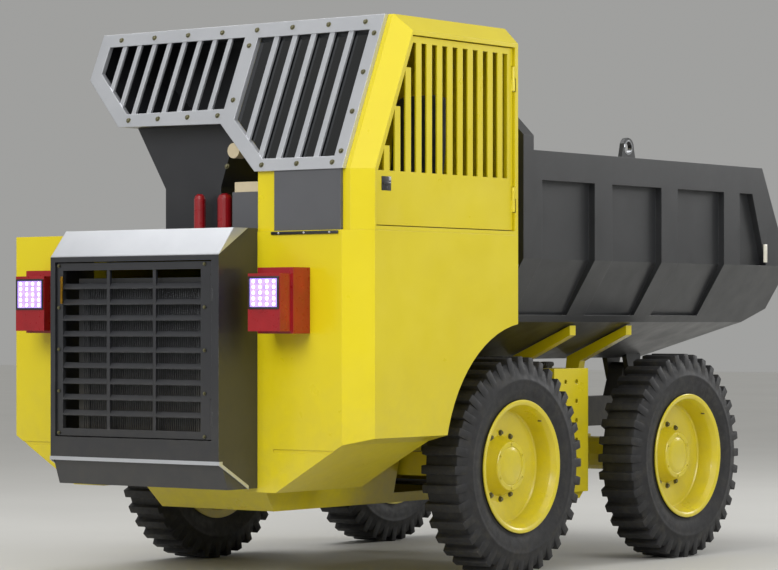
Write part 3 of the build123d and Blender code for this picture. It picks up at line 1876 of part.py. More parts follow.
with BuildPart() as lamp_housings:
    for side in (-1, 1):
        x_low = min(side * lamp_inner_x, side * lamp_outer_x)
        x_high = max(side * lamp_inner_x, side * lamp_outer_x)
        block(x_low, x_high, fender_front_y - lamp_back_depth, fender_front_y, lamp_bottom, lamp_top)
        block(
            x_low + lamp_front_side,
            x_high - lamp_front_side,
            lamp_face_y,
            fender_front_y - lamp_back_depth,
            lamp_bottom + lamp_front_side,
            lamp_top - lamp_front_drop,
        )
        block(
            x_low + lit_inset - seat_gap,
            x_high - lit_inset + seat_gap,
            lamp_face_y - overrun,
            lamp_face_y + lit_depth,
            lit_bottom - seat_gap,
            lit_top + seat_gap,
            Mode.SUBTRACT,
        )
lamp_housings.part.label = "lamp_housings"
export_step(lamp_housings.part, "parts/lamp_housings.step")

with BuildPart() as lamp_panels:
    for side in (-1, 1):
        x_low = min(side * lamp_inner_x, side * lamp_outer_x) + lit_inset
        x_high = max(side * lamp_inner_x, side * lamp_outer_x) - lit_inset
        block(x_low, x_high, lamp_face_y - lit_proud, lamp_face_y + lit_depth, lit_bottom, lit_top)
lamp_panels.part.label = "lamp_panels"
export_step(lamp_panels.part, "parts/lamp_panels.step")


# Work lamps: a bar lamp on the equipment box and a round one hung from the cab's flank
bar_lamp_height = 80
bar_lamp_depth = 90
bar_lamp_length = 300
flood_radius = 62
flood_length = 110
flood_x = 400
flood_drop = 175
flood_reach = 1990
stem_radius = 14

with BuildPart() as work_lamps:
    bar_middle = (box_left_x + box_right_x) / 2
    bar_front_y = front_axle_y - box_front_reach
    block(
        bar_middle - bar_lamp_length / 2,
        bar_middle + bar_lamp_length / 2,
        bar_front_y,
        bar_front_y + bar_lamp_depth,
        box_top,
        box_top + bar_lamp_height,
    )
    flood_y = front_axle_y - flood_reach
    flank_slope = (cab_flank_top - scuttle_height) / (cab_inner_low_x - cab_inner_high_x)
    flank_z = cab_flank_top - (flood_x - cab_inner_high_x) * flank_slope
    flood_z = flank_z - flood_drop
    with BuildSketch(Plane.XZ.offset(-flood_y)):
        with Locations((flood_x, flood_z)):
            RegularPolygon(flood_radius, bar_sides)
    extrude(amount=-flood_length)
    stem_top = flank_z - stem_radius * flank_slope - seat_gap
    upright_bar(flood_x, flood_y + flood_length / 2, flood_z, stem_top, stem_radius)
work_lamps.part.label = "work_lamps"
export_step(work_lamps.part, "parts/work_lamps.step")


# Driver's seat: a pedestal, a cushion and a back in one closed form
seat_inset = 56
seat_x = (cab_inner_low_x + half_width) / 2 - seat_inset
seat_front_reach = 1250
seat_width = 520
seat_depth = 520
seat_base_half = 170
seat_base_height = 300
cushion_height = 130
back_height = 680
back_depth = 130
back_rake = 90
cab_floor = fender_height + cab_wall

with BuildPart() as driver_seat:
    seat_front_y = front_axle_y - seat_front_reach
    seat_rear_y = seat_front_y + seat_depth
    cushion_low = cab_floor + seat_base_height
    cushion_top = cushion_low + cushion_height
    block(
        seat_x - seat_base_half,
        seat_x + seat_base_half,
        seat_front_y + back_depth,
        seat_rear_y - back_depth,
        cab_floor,
        cushion_low,
    )
    side_form(
        [
            (seat_front_y, cushion_low),
            (seat_front_y, cushion_top),
            (seat_rear_y - back_depth, cushion_top),
            (seat_rear_y - back_depth + back_rake, cushion_top + back_height),
            (seat_rear_y + back_rake, cushion_top + back_height),
            (seat_rear_y, cushion_low),
        ],
        seat_x - seat_width / 2,
        seat_x + seat_width / 2,
    )
driver_seat.part.label = "driver_seat"
export_step(driver_seat.part, "parts/driver_seat.step")


# Steering column: a raked console with the wheel on its end
console_reach = 1900
console_depth = 240
console_half = 90
console_height = 620
console_rake = 130
wheel_rim_radius = 205
wheel_rim_bar = 17
wheel_hub_radius = 45
spoke_half = 18

with BuildPart() as steering_column:
    console_y = front_axle_y - console_reach
    column_top = cab_floor + console_height
    side_form(
        [
            (console_y, cab_floor),
            (console_y + console_rake, column_top),
            (console_y + console_rake + console_half, column_top),
            (console_y + console_depth, cab_floor),
        ],
        seat_x - console_half / 2,
        seat_x + console_half / 2,
    )
    wheel_plane = Plane(
        origin=(seat_x, console_y + console_rake + console_half / 2, column_top),
        x_dir=(1, 0, 0),
        z_dir=(0, console_rake, console_height),
    )
    with BuildSketch(wheel_plane):
        RegularPolygon(wheel_rim_radius, dish_sides)
        RegularPolygon(wheel_rim_radius - 2 * wheel_rim_bar, dish_sides, mode=Mode.SUBTRACT)
        Rectangle(2 * (wheel_rim_radius - wheel_rim_bar), 2 * spoke_half)
        RegularPolygon(wheel_hub_radius, bar_sides)
    extrude(amount=2 * wheel_rim_bar)
steering_column.part.label = "steering_column"
export_step(steering_column.part, "parts/steering_column.step")
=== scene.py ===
import math

import bmesh
import bpy
from mathutils import Matrix, Vector


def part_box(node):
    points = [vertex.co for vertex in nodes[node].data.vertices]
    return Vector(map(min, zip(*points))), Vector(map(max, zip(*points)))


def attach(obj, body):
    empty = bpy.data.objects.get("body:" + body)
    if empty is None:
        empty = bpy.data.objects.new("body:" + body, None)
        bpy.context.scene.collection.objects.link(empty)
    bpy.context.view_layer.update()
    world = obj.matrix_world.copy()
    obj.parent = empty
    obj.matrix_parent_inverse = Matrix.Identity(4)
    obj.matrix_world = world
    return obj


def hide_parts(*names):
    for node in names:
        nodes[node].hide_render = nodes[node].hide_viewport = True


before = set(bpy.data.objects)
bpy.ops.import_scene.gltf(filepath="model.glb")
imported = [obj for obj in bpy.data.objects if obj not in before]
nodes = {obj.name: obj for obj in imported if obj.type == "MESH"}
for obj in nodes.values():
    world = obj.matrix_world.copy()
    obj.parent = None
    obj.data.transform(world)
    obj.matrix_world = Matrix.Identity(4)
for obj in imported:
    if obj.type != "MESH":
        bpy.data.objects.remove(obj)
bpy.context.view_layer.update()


# The camera stands low and far off, ahead of the vehicle's left front corner, and looks level.
# Its lens is long, so the vehicle fills the picture with little perspective.
camera_place = (15.963, -21.235, 2.0955)
camera_turn = 37.3
camera_lens = 138.8
camera_sensor = 36
camera_reach = 300
horizon_drop = 0.0488


def add_object(name, data):
    """Put a block of data into the scene as an object, and return it."""
    made = bpy.data.objects.new(name, data)
    bpy.context.scene.collection.objects.link(made)
    return made


lens = bpy.data.cameras.new("camera")
lens.lens = camera_lens
lens.sensor_width = camera_sensor
lens.shift_y = horizon_drop
lens.clip_end = camera_reach
camera = add_object("camera", lens)
camera.location = camera_place
camera.rotation_euler = (math.radians(90), 0, math.radians(camera_turn))
bpy.context.scene.camera = camera


# The studio: a pale floor that runs out to the horizon, a grey sky and four soft lamps, the
# strongest of them ahead of the vehicle on the camera's side. A wide, weak lamp from far off
# evens the floor out to its edge.
floor_half = 90
floor_squares = 8
floor_color = "c9c8c4"
floor_cloud = "bdbcb8"
floor_cloud_size = 3.0
floor_grain_size = 0.02
sky_color = "c6c6c4"
sky_strength = 0.62
# Each lamp: (name, place, point it faces, side length, watts)
lamps = [
    ("key_lamp", (2, -17, 9), (0, -1.5, 2.2), 7, 1350),
    ("side_lamp", (15, -3, 8), (1.5, 0, 1.8), 8, 900),
    ("rear_lamp", (6, 15, 9), (0, 1.5, 2.5), 7, 1000),
    ("top_lamp", (-5, 0, 13), (0, 0, 2), 9, 700),
]
far_lamp_turn = (38, 0, 25)
far_lamp_spread = 70
far_lamp_strength = 0.9


def linear(hex_code):
    """Turn an sRGB hex colour into the linear colour that a shader takes."""
    color = []
    for start in (0, 2, 4):
        share = int(hex_code[start:start + 2], 16) / 255
        color.append(share / 12.92 if share <= 0.04045 else ((share + 0.055) / 1.055) ** 2.4)
    return color + [1]


def add_node(tree, kind, sockets, **settings):
    """Add a shader node, set its properties, and give each named socket its value or its link."""
    node = tree.nodes.new(kind)
    for name, value in settings.items():
        setattr(node, name, value)
    for name, value in sockets.items():
        if isinstance(value, bpy.types.NodeSocket):
            tree.links.new(value, node.inputs[name])
        else:
            node.inputs[name].default_value = value
    return node


def new_material(name):
    """Make an empty material, and return it with its tree and the object's own coordinates."""
    material = bpy.data.materials.new(name)
    material.use_nodes = True
    tree = material.node_tree
    tree.nodes.clear()
    return material, tree, add_node(tree, "ShaderNodeTexCoord", {}).outputs["Object"]


def noise(tree, place, size, detail=4.0, roughness=0.55):
    """Return a noise whose patches are about this many metres across."""
    sockets = {"Vector": place, "Scale": 1 / size, "Detail": detail, "Roughness": roughness}
    return add_node(tree, "ShaderNodeTexNoise", sockets).outputs["Fac"]


def mixed(tree, share, first, second):
    """Mix two colours, each a plain colour or a socket."""
    sockets = {0: share, 6: first, 7: second}
    return add_node(tree, "ShaderNodeMix", sockets, data_type="RGBA").outputs[2]


def clouded(tree, place, size, first, second, detail=4.0):
    """Return a tone that drifts between two hex colours in patches of a size."""
    return mixed(tree, noise(tree, place, size, detail), linear(first), linear(second))


def grained(tree, height, depth, strength, normal=None):
    """Return the normal of a surface roughened by a height, this many metres deep."""
    sockets = {"Height": height, "Distance": depth, "Strength": strength}
    if normal is not None:
        sockets["Normal"] = normal
    return add_node(tree, "ShaderNodeBump", sockets).outputs["Normal"]


def finish_surface(tree, **sockets):
    """End a material with its surface shader."""
    named = {name.replace("_", " "): value for name, value in sockets.items()}
    shader = add_node(tree, "ShaderNodeBsdfPrincipled", named)
    add_node(tree, "ShaderNodeOutputMaterial", {"Surface": shader.outputs["BSDF"]})


def poured_floor():
    """Pale poured concrete, faintly clouded."""
    material, tree, place = new_material("pale_concrete")
    tone = clouded(tree, place, floor_cloud_size, floor_cloud, floor_color)
    grain = grained(tree, noise(tree, place, floor_grain_size), 0.001, 0.3)
    finish_surface(tree, Base_Color=tone, Roughness=0.62, Normal=grain)
    return material


floor_form = bmesh.new()
bmesh.ops.create_grid(
    floor_form, x_segments=floor_squares, y_segments=floor_squares, size=floor_half,
)
floor_mesh = bpy.data.meshes.new("studio_floor")
floor_form.to_mesh(floor_mesh)
floor_form.free()
floor_mesh.materials.append(poured_floor())
add_object("studio_floor", floor_mesh)

for lamp_name, lamp_place, lamp_target, lamp_side, lamp_watts in lamps:
    lamp_data = bpy.data.lights.new(lamp_name, "AREA")
    lamp_data.size = lamp_side
    lamp_data.energy = lamp_watts
    lamp = add_object(lamp_name, lamp_data)
    lamp.location = lamp_place
    lamp_way = Vector(lamp_target) - Vector(lamp_place)
    lamp.rotation_euler = lamp_way.to_track_quat("-Z", "Y").to_euler()

far_lamp_data = bpy.data.lights.new("far_lamp", "SUN")
far_lamp_data.angle = math.radians(far_lamp_spread)
far_lamp_data.energy = far_lamp_strength
far_lamp = add_object("far_lamp", far_lamp_data)
far_lamp.rotation_euler = [math.radians(part) for part in far_lamp_turn]

sky = bpy.data.worlds.new("studio")
sky.use_nodes = True
background = sky.node_tree.nodes["Background"]
background.inputs["Color"].default_value = linear(sky_color)
background.inputs["Strength"].default_value = sky_strength
bpy.context.scene.world = sky
bpy.context.scene.view_settings.view_transform = "Standard"


# Painted bodywork: sprayed plate in lemon yellow on the cab, fenders, tanks and axles, graphite
# on the grille module and air housing, mid-grey on scuttle and deck, and near-black on the
# frame. Its edges are rubbed to a paler shade, and road dust lies low down.
paint_cloud_size = 0.9
chip_size = 0.06
peel_size = 0.005
peel_depth = 0.0002
edge_radius = 0.006
dust_color = "8d8263"
dust_patch_size = 0.12
dust_top = 1.9
dust_bottom = 0.3
# Each paint: (name, colour, its darker cloud, rubbed edge, roughness, coat, dust, its nodes)
paints = [
    ("yellow_paint", "dccb0a", "cdb906", "e9de6a", 0.32, 0.5, 0.24, [
        "engine_bay", "fender_left", "fender_right", "belly_guard", "side_tanks",
        "cradle_arms", "cab_shell", "cab_door", "rear_axle", "front_axle",
    ]),
    ("graphite_paint", "2b2c30", "232427", "66676a", 0.34, 0.4, 0.06, [
        "grille_surround", "grille_door", "intake_housing", "intake_duct",
    ]),
    ("mid_grey_paint", "55565a", "4b4c4f", "7f8082", 0.40, 0.25, 0.06, [
        "scuttle_panel", "deck_plate",
    ]),
    ("chassis_paint", "1f2022", "17181a", "3b3c3d", 0.50, 0.10, 0.30, [
        "main_frame", "suspension_struts", "radiator",
    ]),
]


def ranged(tree, value, low, high, new_low, new_high):
    """Carry a value from one range to another, held at its ends."""
    sockets = {
        "Value": value, "From Min": low, "From Max": high, "To Min": new_low, "To Max": new_high,
    }
    return add_node(tree, "ShaderNodeMapRange", sockets).outputs["Result"]


def worked_out(tree, operation, *values):
    """Return the outcome of a sum on numbers or sockets."""
    sockets = dict(enumerate(values))
    return add_node(tree, "ShaderNodeMath", sockets, operation=operation).outputs["Value"]


def uneven_gloss(tree, place, size, smoothest, roughest, detail=4.0):
    """Return a roughness that drifts between two values in patches of a size."""
    return ranged(tree, noise(tree, place, size, detail), 0.3, 0.7, smoothest, roughest)


def eased_edges(tree, radius):
    """Return the surface's normal with its edges rounded to a radius."""
    return add_node(tree, "ShaderNodeBevel", {"Radius": radius}, samples=4).outputs["Normal"]


def sprayed_paint(name, color, cloud_color, edge_color, roughness, coat, dust):
    """Sprayed enamel, faintly clouded, with orange peel, rubbed edges and dust low down."""
    material, tree, place = new_material(name)
    tone = clouded(tree, place, paint_cloud_size, cloud_color, color)

    # An edge is where the rounded normal leaves the true one
    rounded = eased_edges(tree, edge_radius)
    true_normal = add_node(tree, "ShaderNodeNewGeometry", {}).outputs["Normal"]
    facing = add_node(
        tree, "ShaderNodeVectorMath", {0: rounded, 1: true_normal}, operation="DOT_PRODUCT",
    ).outputs["Value"]
    edge = ranged(tree, facing, 0.985, 0.80, 0.0, 1.0)
    chips = ranged(tree, noise(tree, place, chip_size, 6.0, 0.7), 0.48, 0.62, 0.0, 0.8)
    rubbed = worked_out(tree, "MULTIPLY", edge, chips)
    worn = mixed(tree, rubbed, tone, linear(edge_color))

    # Dust thins out with height, in patches
    height = add_node(tree, "ShaderNodeSeparateXYZ", {"Vector": place}).outputs["Z"]
    low_down = ranged(tree, height, dust_top, dust_bottom, 0.0, dust)
    patches = noise(tree, place, dust_patch_size, 7.0, 0.65)
    film = ranged(tree, patches, 0.35, 0.75, 0.35, 1.6)
    dusty = worked_out(tree, "MULTIPLY", low_down, film)
    covered = mixed(tree, dusty, worn, linear(dust_color))

    gloss = uneven_gloss(tree, place, 0.25, roughness - 0.05, roughness + 0.10, 5.0)
    peel = grained(tree, noise(tree, place, peel_size, 2.0), peel_depth, 0.35, rounded)
    finish_surface(
        tree, Base_Color=covered, Roughness=gloss, Coat_Weight=coat, Coat_Roughness=0.15,
        Normal=peel,
    )
    return material


def wear(node_name, material):
    """Give a CAD node its material."""
    slots = nodes[node_name].data.materials
    slots.clear()
    slots.append(material)


painted = {}
for paint_name, *finish, wearers in paints:
    painted[paint_name] = sprayed_paint(paint_name, *finish)
    for wearer in wearers:
        wear(wearer, painted[paint_name])


# Bright guard and trim: satin silver paint over brushed plate, on the raked guard ahead of the
# cab and air housing, and on the grille's sloping cap and its lower strip.
silver_color = "d2d4d8"
silver_cloud = "b9bcc2"
silver_cloud_size = 0.5
brush_draw = (1.0, 14.0, 14.0)
brush_size = 0.1
brush_depth = 0.0001


def satin_silver():
    """Silver paint over brushed plate, drawn out along the sheet."""
    material, tree, place = new_material("satin_silver")
    drawn = {"Vector": place, "Scale": brush_draw}
    stretch = add_node(tree, "ShaderNodeMapping", drawn).outputs["Vector"]
    tone = clouded(tree, place, silver_cloud_size, silver_cloud, silver_color)
    rounded = eased_edges(tree, edge_radius)
    gloss = uneven_gloss(tree, stretch, brush_size * 1.5, 0.28, 0.33, 3.0)
    brushed = grained(tree, noise(tree, stretch, brush_size, 2.0), brush_depth, 0.15, rounded)
    finish_surface(
        tree, Base_Color=tone, Metallic=0.65, Roughness=gloss, Coat_Weight=0.3,
        Coat_Roughness=0.2, Normal=brushed,
    )
    return material


silver = satin_silver()
for silver_node in ("guard_frame", "grille_trim"):
    wear(silver_node, silver)


# Castings and shafts: engine and gearbox block, driveline, knuckles, tie rod and hoist barrels,
# in dark iron with a sand-cast skin and an oily film.
iron_color = "2b2a29"
iron_cloud = "3a3836"
iron_cloud_size = 0.08
sand_size = 0.006
sand_depth = 0.0008
iron_nodes = [
    "engine_block", "driveline", "knuckle_left", "knuckle_right", "tie_rod",
    "hoist_barrel_left", "hoist_barrel_right",
]


def cast_iron():
    """Sand-cast iron under thin paint, pitted and faintly oily."""
    material, tree, place = new_material("cast_iron")
    tone = clouded(tree, place, iron_cloud_size, iron_color, iron_cloud, 6.0)
    gloss = ranged(tree, noise(tree, place, 0.15), 0.35, 0.65, 0.38, 0.62)
    skin = grained(tree, noise(tree, place, sand_size, 4.0, 0.7), sand_depth, 0.6)
    finish_surface(tree, Base_Color=tone, Metallic=0.45, Roughness=gloss, Normal=skin)
    return material


iron = cast_iron()
for iron_node in iron_nodes:
    wear(iron_node, iron)


# Hoist rods: ground and chromed bars that run into the barrels, with a faint film of oil and
# fine scratches.
scratch_depth = 0.0001


def bare_metal(name, dark, light, smoothest, roughest, grain_size):
    """Bare or plated metal: clouded, unevenly polished, with a fine grain of scratches."""
    material, tree, place = new_material(name)
    tone = clouded(tree, place, grain_size * 8, dark, light, 5.0)
    gloss = uneven_gloss(tree, place, grain_size * 3, smoothest, roughest)
    scratches = grained(tree, noise(tree, place, grain_size, 3.0), scratch_depth, 0.3)
    finish_surface(tree, Base_Color=tone, Metallic=1.0, Roughness=gloss, Normal=scratches)
    return material


chrome = bare_metal("chromed_rod", "c3c5c9", "d9dbde", 0.08, 0.20, 0.010)
for rod_node in ("hoist_rod_left", "hoist_rod_right"):
    wear(rod_node, chrome)


# Windscreen: dark laminated glass behind the guard, smeared a little, that shows the cab only
# dimly.
glass_color = "0c0f12"
smear_size = 0.3


def tinted_glass():
    """Smoked glass with a faint smear."""
    material, tree, place = new_material("tinted_glass")
    smear = ranged(tree, noise(tree, place, smear_size, 5.0), 0.35, 0.75, 0.02, 0.12)
    finish_surface(
        tree, Base_Color=linear(glass_color), Roughness=smear, IOR=1.5,
        Transmission_Weight=0.35, Coat_Weight=0.6, Coat_Roughness=0.03,
    )
    return material


wear("windscreen", tinted_glass())


# Lamps: a red housing on each fender holds a lit panel of small diodes, five rows of four, in a
# black bezel. Two plain beige work lamps and two red air bottles stand on the deck.
red_color = "a00c18"
red_cloud = "7c0a12"
beige_color = "cdbfa0"
beige_cloud = "b6a98c"
bezel_color = "101011"
bezel_cloud = "18181a"
moulding_cloud_size = 0.15
moulding_grain_size = 0.003
moulding_grain_depth = 0.0001
glow_color = "7a4cf0"
glow_cloud = "c9b4ff"
glow_strength = 0.9
diode_color = "efe6ff"
diode_strength = 3.2
diode_columns = 4
diode_rows = 5
diode_radius = 0.015
diode_steps = 12
# A diode's dome: (reach, radius)
diode_section = [(0, diode_radius), (0.003, diode_radius * 0.8), (0.005, 0)]
bezel_width = 0.016
bezel_depth = 0.012
bezel_edge = 0.002
# The panels' box gives their outer ends, and this is where the inner ones are
panel_inner_x = 1.106
panel_low, panel_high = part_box("lamp_panels")
panel_face = (0, -1, 0)
both_sides = (("left", 1), ("right", -1))


def gloss_moulding(name, color, cloud_color, roughness):
    """A gloss moulding or enamel, faintly clouded, with a fine grain."""
    material, tree, place = new_material(name)
    tone = clouded(tree, place, moulding_cloud_size, cloud_color, color)
    gloss = uneven_gloss(tree, place, 0.05, roughness, roughness + 0.12, 5.0)
    rounded = eased_edges(tree, edge_radius)
    height = noise(tree, place, moulding_grain_size, 2.0)
    grain = grained(tree, height, moulding_grain_depth, 0.3, rounded)
    finish_surface(
        tree, Base_Color=tone, Roughness=gloss, Coat_Weight=0.5, Coat_Roughness=0.08,
        Normal=grain,
    )
    return material


def lit_panel(name, color, strength):
    """A glowing lens, a little uneven across its face."""
    material, tree, place = new_material(name)
    tone = clouded(tree, place, 0.05, color, glow_cloud)
    finish_surface(
        tree, Base_Color=tone, Roughness=0.25, Emission_Color=tone, Emission_Strength=strength,
    )
    return material


def new_piece(name, form, body, material, sharp=35):
    """Turn a form into a named piece that rides on a body, smooth but for its sharp edges."""
    bmesh.ops.recalc_face_normals(form, faces=form.faces)
    mesh = bpy.data.meshes.new(name)
    form.to_mesh(mesh)
    form.free()
    mesh.shade_smooth()
    mesh.set_sharp_from_angle(angle=math.radians(sharp))
    mesh.materials.append(material)
    made = add_object(name, mesh)
    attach(made, body)
    return made


def add_box(form, low, high, edge):
    """Add a box between two corners, with rounded edges."""
    corners = bmesh.ops.create_cube(form, size=1)["verts"]
    for corner in corners:
        for axis in range(3):
            corner.co[axis] = low[axis] if corner.co[axis] < 0 else high[axis]
    edges = list({line for corner in corners for line in corner.link_edges})
    bmesh.ops.bevel(
        form, geom=edges, offset=edge, segments=2, profile=0.5, affect="EDGES", material=-1,
    )


def add_turned(form, profile, turn, steps):
    """Spin a profile of (reach, radius) about its own X axis, and place it with a matrix."""
    points = [form.verts.new((reach, 0, radius)) for reach, radius in profile]
    lines = [form.edges.new(pair) for pair in zip(points, points[1:])]
    known = set(form.verts)
    bmesh.ops.spin(
        form, geom=points + lines, cent=(0, 0, 0), axis=(1, 0, 0), angle=math.tau, steps=steps,
        use_merge=True,
    )
    made = points + [point for point in form.verts if point not in known]
    made = [point for point in made if point.is_valid]
    bmesh.ops.transform(form, matrix=turn, verts=made)


def towards(place, way):
    """Return the matrix that puts a form at a point, its own X axis along a way."""
    turn = Vector((1, 0, 0)).rotation_difference(Vector(way)).to_matrix().to_4x4()
    return Matrix.Translation(place) @ turn


lamp_red = gloss_moulding("lamp_red", red_color, red_cloud, 0.25)
wear("lamp_housings", lamp_red)
wear("air_bottles", lamp_red)
wear("work_lamps", gloss_moulding("lamp_beige", beige_color, beige_cloud, 0.35))
wear("lamp_panels", lit_panel("lamp_glow", glow_color, glow_strength))
bezel_black = gloss_moulding("bezel_black", bezel_color, bezel_cloud, 0.45)
diode_lit = lit_panel("diode_glow", diode_color, diode_strength)

panel_width = panel_high.x - panel_inner_x
panel_height = panel_high.z - panel_low.z
for side, sign in both_sides:
    diodes = bmesh.new()
    for column in range(diode_columns):
        for row in range(diode_rows):
            diode_x = panel_inner_x + panel_width * (column + 0.5) / diode_columns
            diode_z = panel_low.z + panel_height * (row + 0.5) / diode_rows
            spot = (sign * diode_x, panel_low.y, diode_z)
            add_turned(diodes, diode_section, towards(spot, panel_face), diode_steps)
    new_piece("lamp_diodes_" + side, diodes, "chassis", diode_lit)

    # Four bars make the bezel: the lower and upper one, and the two between them
    left_x, right_x = sorted((sign * panel_inner_x, sign * panel_high.x))
    outer_left, outer_right = left_x - bezel_width, right_x + bezel_width
    bars = [
        ((outer_left, panel_low.z - bezel_width), (outer_right, panel_low.z)),
        ((outer_left, panel_high.z), (outer_right, panel_high.z + bezel_width)),
        ((outer_left, panel_low.z), (left_x, panel_high.z)),
        ((right_x, panel_low.z), (outer_right, panel_high.z)),
    ]
    bezel_front, bezel_rear = panel_low.y - bezel_depth / 2, panel_low.y + bezel_depth
    bezel = bmesh.new()
    for (x_low, z_low), (x_high, z_high) in bars:
        low, high = (x_low, bezel_front, z_low), (x_high, bezel_rear, z_high)
        add_box(bezel, low, high, bezel_edge)
    new_piece("lamp_bezel_" + side, bezel, "chassis", bezel_black)


# Tyres: moulded rubber on a bulging carcass, with thirty-six deep bars straight across the tread.
# The bars' edges are worn round, a ridge runs round each side wall, and dust lies in the grain.
wheel_names = ("front_left", "front_right", "rear_left", "rear_right")
tyre_steps = 108
bar_count = 36
bar_foot = 0.700
bar_top = 0.910
bar_foot_half = 0.201
bar_top_half = 0.172
bar_foot_width = 0.078
bar_top_width = 0.070
bar_edge = 0.007
# One half of the section, from the bead to the middle of the tread: (reach, radius)
tyre_half = [
    (0.150, 0.5155), (0.163, 0.524), (0.176, 0.552), (0.180, 0.560), (0.179, 0.574),
    (0.186, 0.592), (0.198, 0.640), (0.203, 0.680), (0.204, 0.704), (0.2055, 0.708),
    (0.2055, 0.722), (0.203, 0.727), (0.194, 0.764), (0.178, 0.815), (0.162, 0.852),
    (0.154, 0.864), (0.142, 0.868), (0.070, 0.8685),
]
rubber_color = "141416"
rubber_cloud = "1d1d1f"
rubber_cloud_size = 0.25
rubber_dust = "4a4538"
rubber_dust_size = 0.09
rubber_grain_size = 0.004
rubber_grain_depth = 0.0006
rubber_edge = 0.004


def moulded_rubber():
    """Carbon-black rubber, greyer where it is scuffed, with dust held in its grain."""
    material, tree, place = new_material("moulded_rubber")
    tone = clouded(tree, place, rubber_cloud_size, rubber_color, rubber_cloud, 6.0)
    held = noise(tree, place, rubber_dust_size, 8.0, 0.7)
    dust = ranged(tree, held, 0.50, 0.80, 0.0, 0.45)
    covered = mixed(tree, dust, tone, linear(rubber_dust))
    rounded = eased_edges(tree, rubber_edge)
    gloss = uneven_gloss(tree, place, 0.06, 0.50, 0.74, 5.0)
    height = noise(tree, place, rubber_grain_size, 5.0, 0.7)
    grain = grained(tree, height, rubber_grain_depth, 0.6, rounded)
    finish_surface(tree, Base_Color=covered, Roughness=gloss, Normal=grain)
    return material


def middle_of(node_name):
    """Return the middle of a node's box."""
    low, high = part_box(node_name)
    return (Vector(low) + Vector(high)) / 2


rubber = moulded_rubber()
tyre_section = tyre_half + [(-reach, radius) for reach, radius in reversed(tyre_half)]
for wheel_name in wheel_names:
    carcass = bmesh.new()
    add_turned(carcass, tyre_section + tyre_section[:1], Matrix.Identity(4), tyre_steps)
    bmesh.ops.remove_doubles(carcass, verts=carcass.verts, dist=0.0002)
    for bar in range(bar_count):
        corners = bmesh.ops.create_cube(carcass, size=2)["verts"]
        for corner in corners:
            top = corner.co.z > 0
            corner.co.x *= bar_top_half if top else bar_foot_half
            corner.co.y *= (bar_top_width if top else bar_foot_width) / 2
            corner.co.z = bar_top if top else bar_foot
        edges = list({line for corner in corners for line in corner.link_edges})
        cut = bmesh.ops.bevel(
            carcass, geom=edges, offset=bar_edge, segments=2, profile=0.5, affect="EDGES",
            material=-1,
        )
        points = list({point for face in cut["faces"] for point in face.verts})
        turn = Matrix.Rotation(math.tau * bar / bar_count, 4, "X")
        bmesh.ops.transform(carcass, matrix=turn, verts=points)
    bmesh.ops.translate(carcass, vec=middle_of("tyre_" + wheel_name), verts=carcass.verts)
    body = "wheel_" + wheel_name
    tyre = new_piece("tyre_rubber_" + wheel_name, carcass, body, rubber)
    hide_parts("tyre_" + wheel_name)


# Rims: pressed steel, dished deep on the outer side, with a domed and bolted hub cap inside a
# ring of wheel nuts, a rolled flange over each bead and a valve by the flange.
# All reaches on a wheel are measured outwards from here
hub_face_x = 1.642
rim_steps = 96
rim_sharp = 28
nut_count = 12
nut_circle = 0.276
nut_face = -0.030
nut_width = 0.034
nut_height = 0.024
cap_bolt_count = 6
cap_bolt_circle = 0.182
cap_bolt_face = 0.086
cap_bolt_width = 0.018
cap_bolt_height = 0.010
valve_circle = 0.470
valve_face = 0.150
valve_turn = 0.9
valve_steps = 12
valve_section = [(0, 0), (0, 0.007), (0.030, 0.006), (0.034, 0.0045), (0.034, 0)]
washer_steps = 20
# The section from the middle of the cap outwards, round the flanges and back through the bore
rim_section = [
    (0.095, 0.0), (0.0945, 0.120), (0.092, 0.134), (0.080, 0.160), (0.086, 0.164),
    (0.086, 0.198), (0.081, 0.204), (-0.022, 0.2455), (-0.030, 0.253), (-0.030, 0.292),
    (-0.025, 0.304), (0.008, 0.455), (0.018, 0.4645), (0.138, 0.484), (0.150, 0.488),
    (0.190, 0.510), (0.196, 0.522), (0.200, 0.532), (0.200, 0.546), (0.194, 0.552),
    (0.186, 0.551), (0.184, 0.546), (0.184, 0.515), (-0.174, 0.515), (-0.174, 0.552),
    (-0.190, 0.552), (-0.190, 0.480), (-0.060, 0.453), (-0.060, 0.304), (-0.080, 0.188),
    (-0.080, 0.0803), (0.0553, 0.0803), (0.0553, 0.0),
]


def add_bolt(form, place, way, width, height):
    """Add a hexagon bolt head with its washer, standing out along a way."""
    seat = height * 0.25
    washer = [(0, 0), (0, width * 0.75), (seat, width * 0.72), (seat, 0)]
    add_turned(form, washer, towards(place, way), washer_steps)
    head = [(seat, width * 0.5), (height * 0.9, width * 0.5), (height, width * 0.42), (height, 0)]
    add_turned(form, head, towards(place, way), 6)


def about_axle(hub, reach, circle, turn):
    """Return the point at a turn round a wheel's axle, a reach out from the hub."""
    return hub + Vector((reach, circle * math.cos(turn), circle * math.sin(turn)))


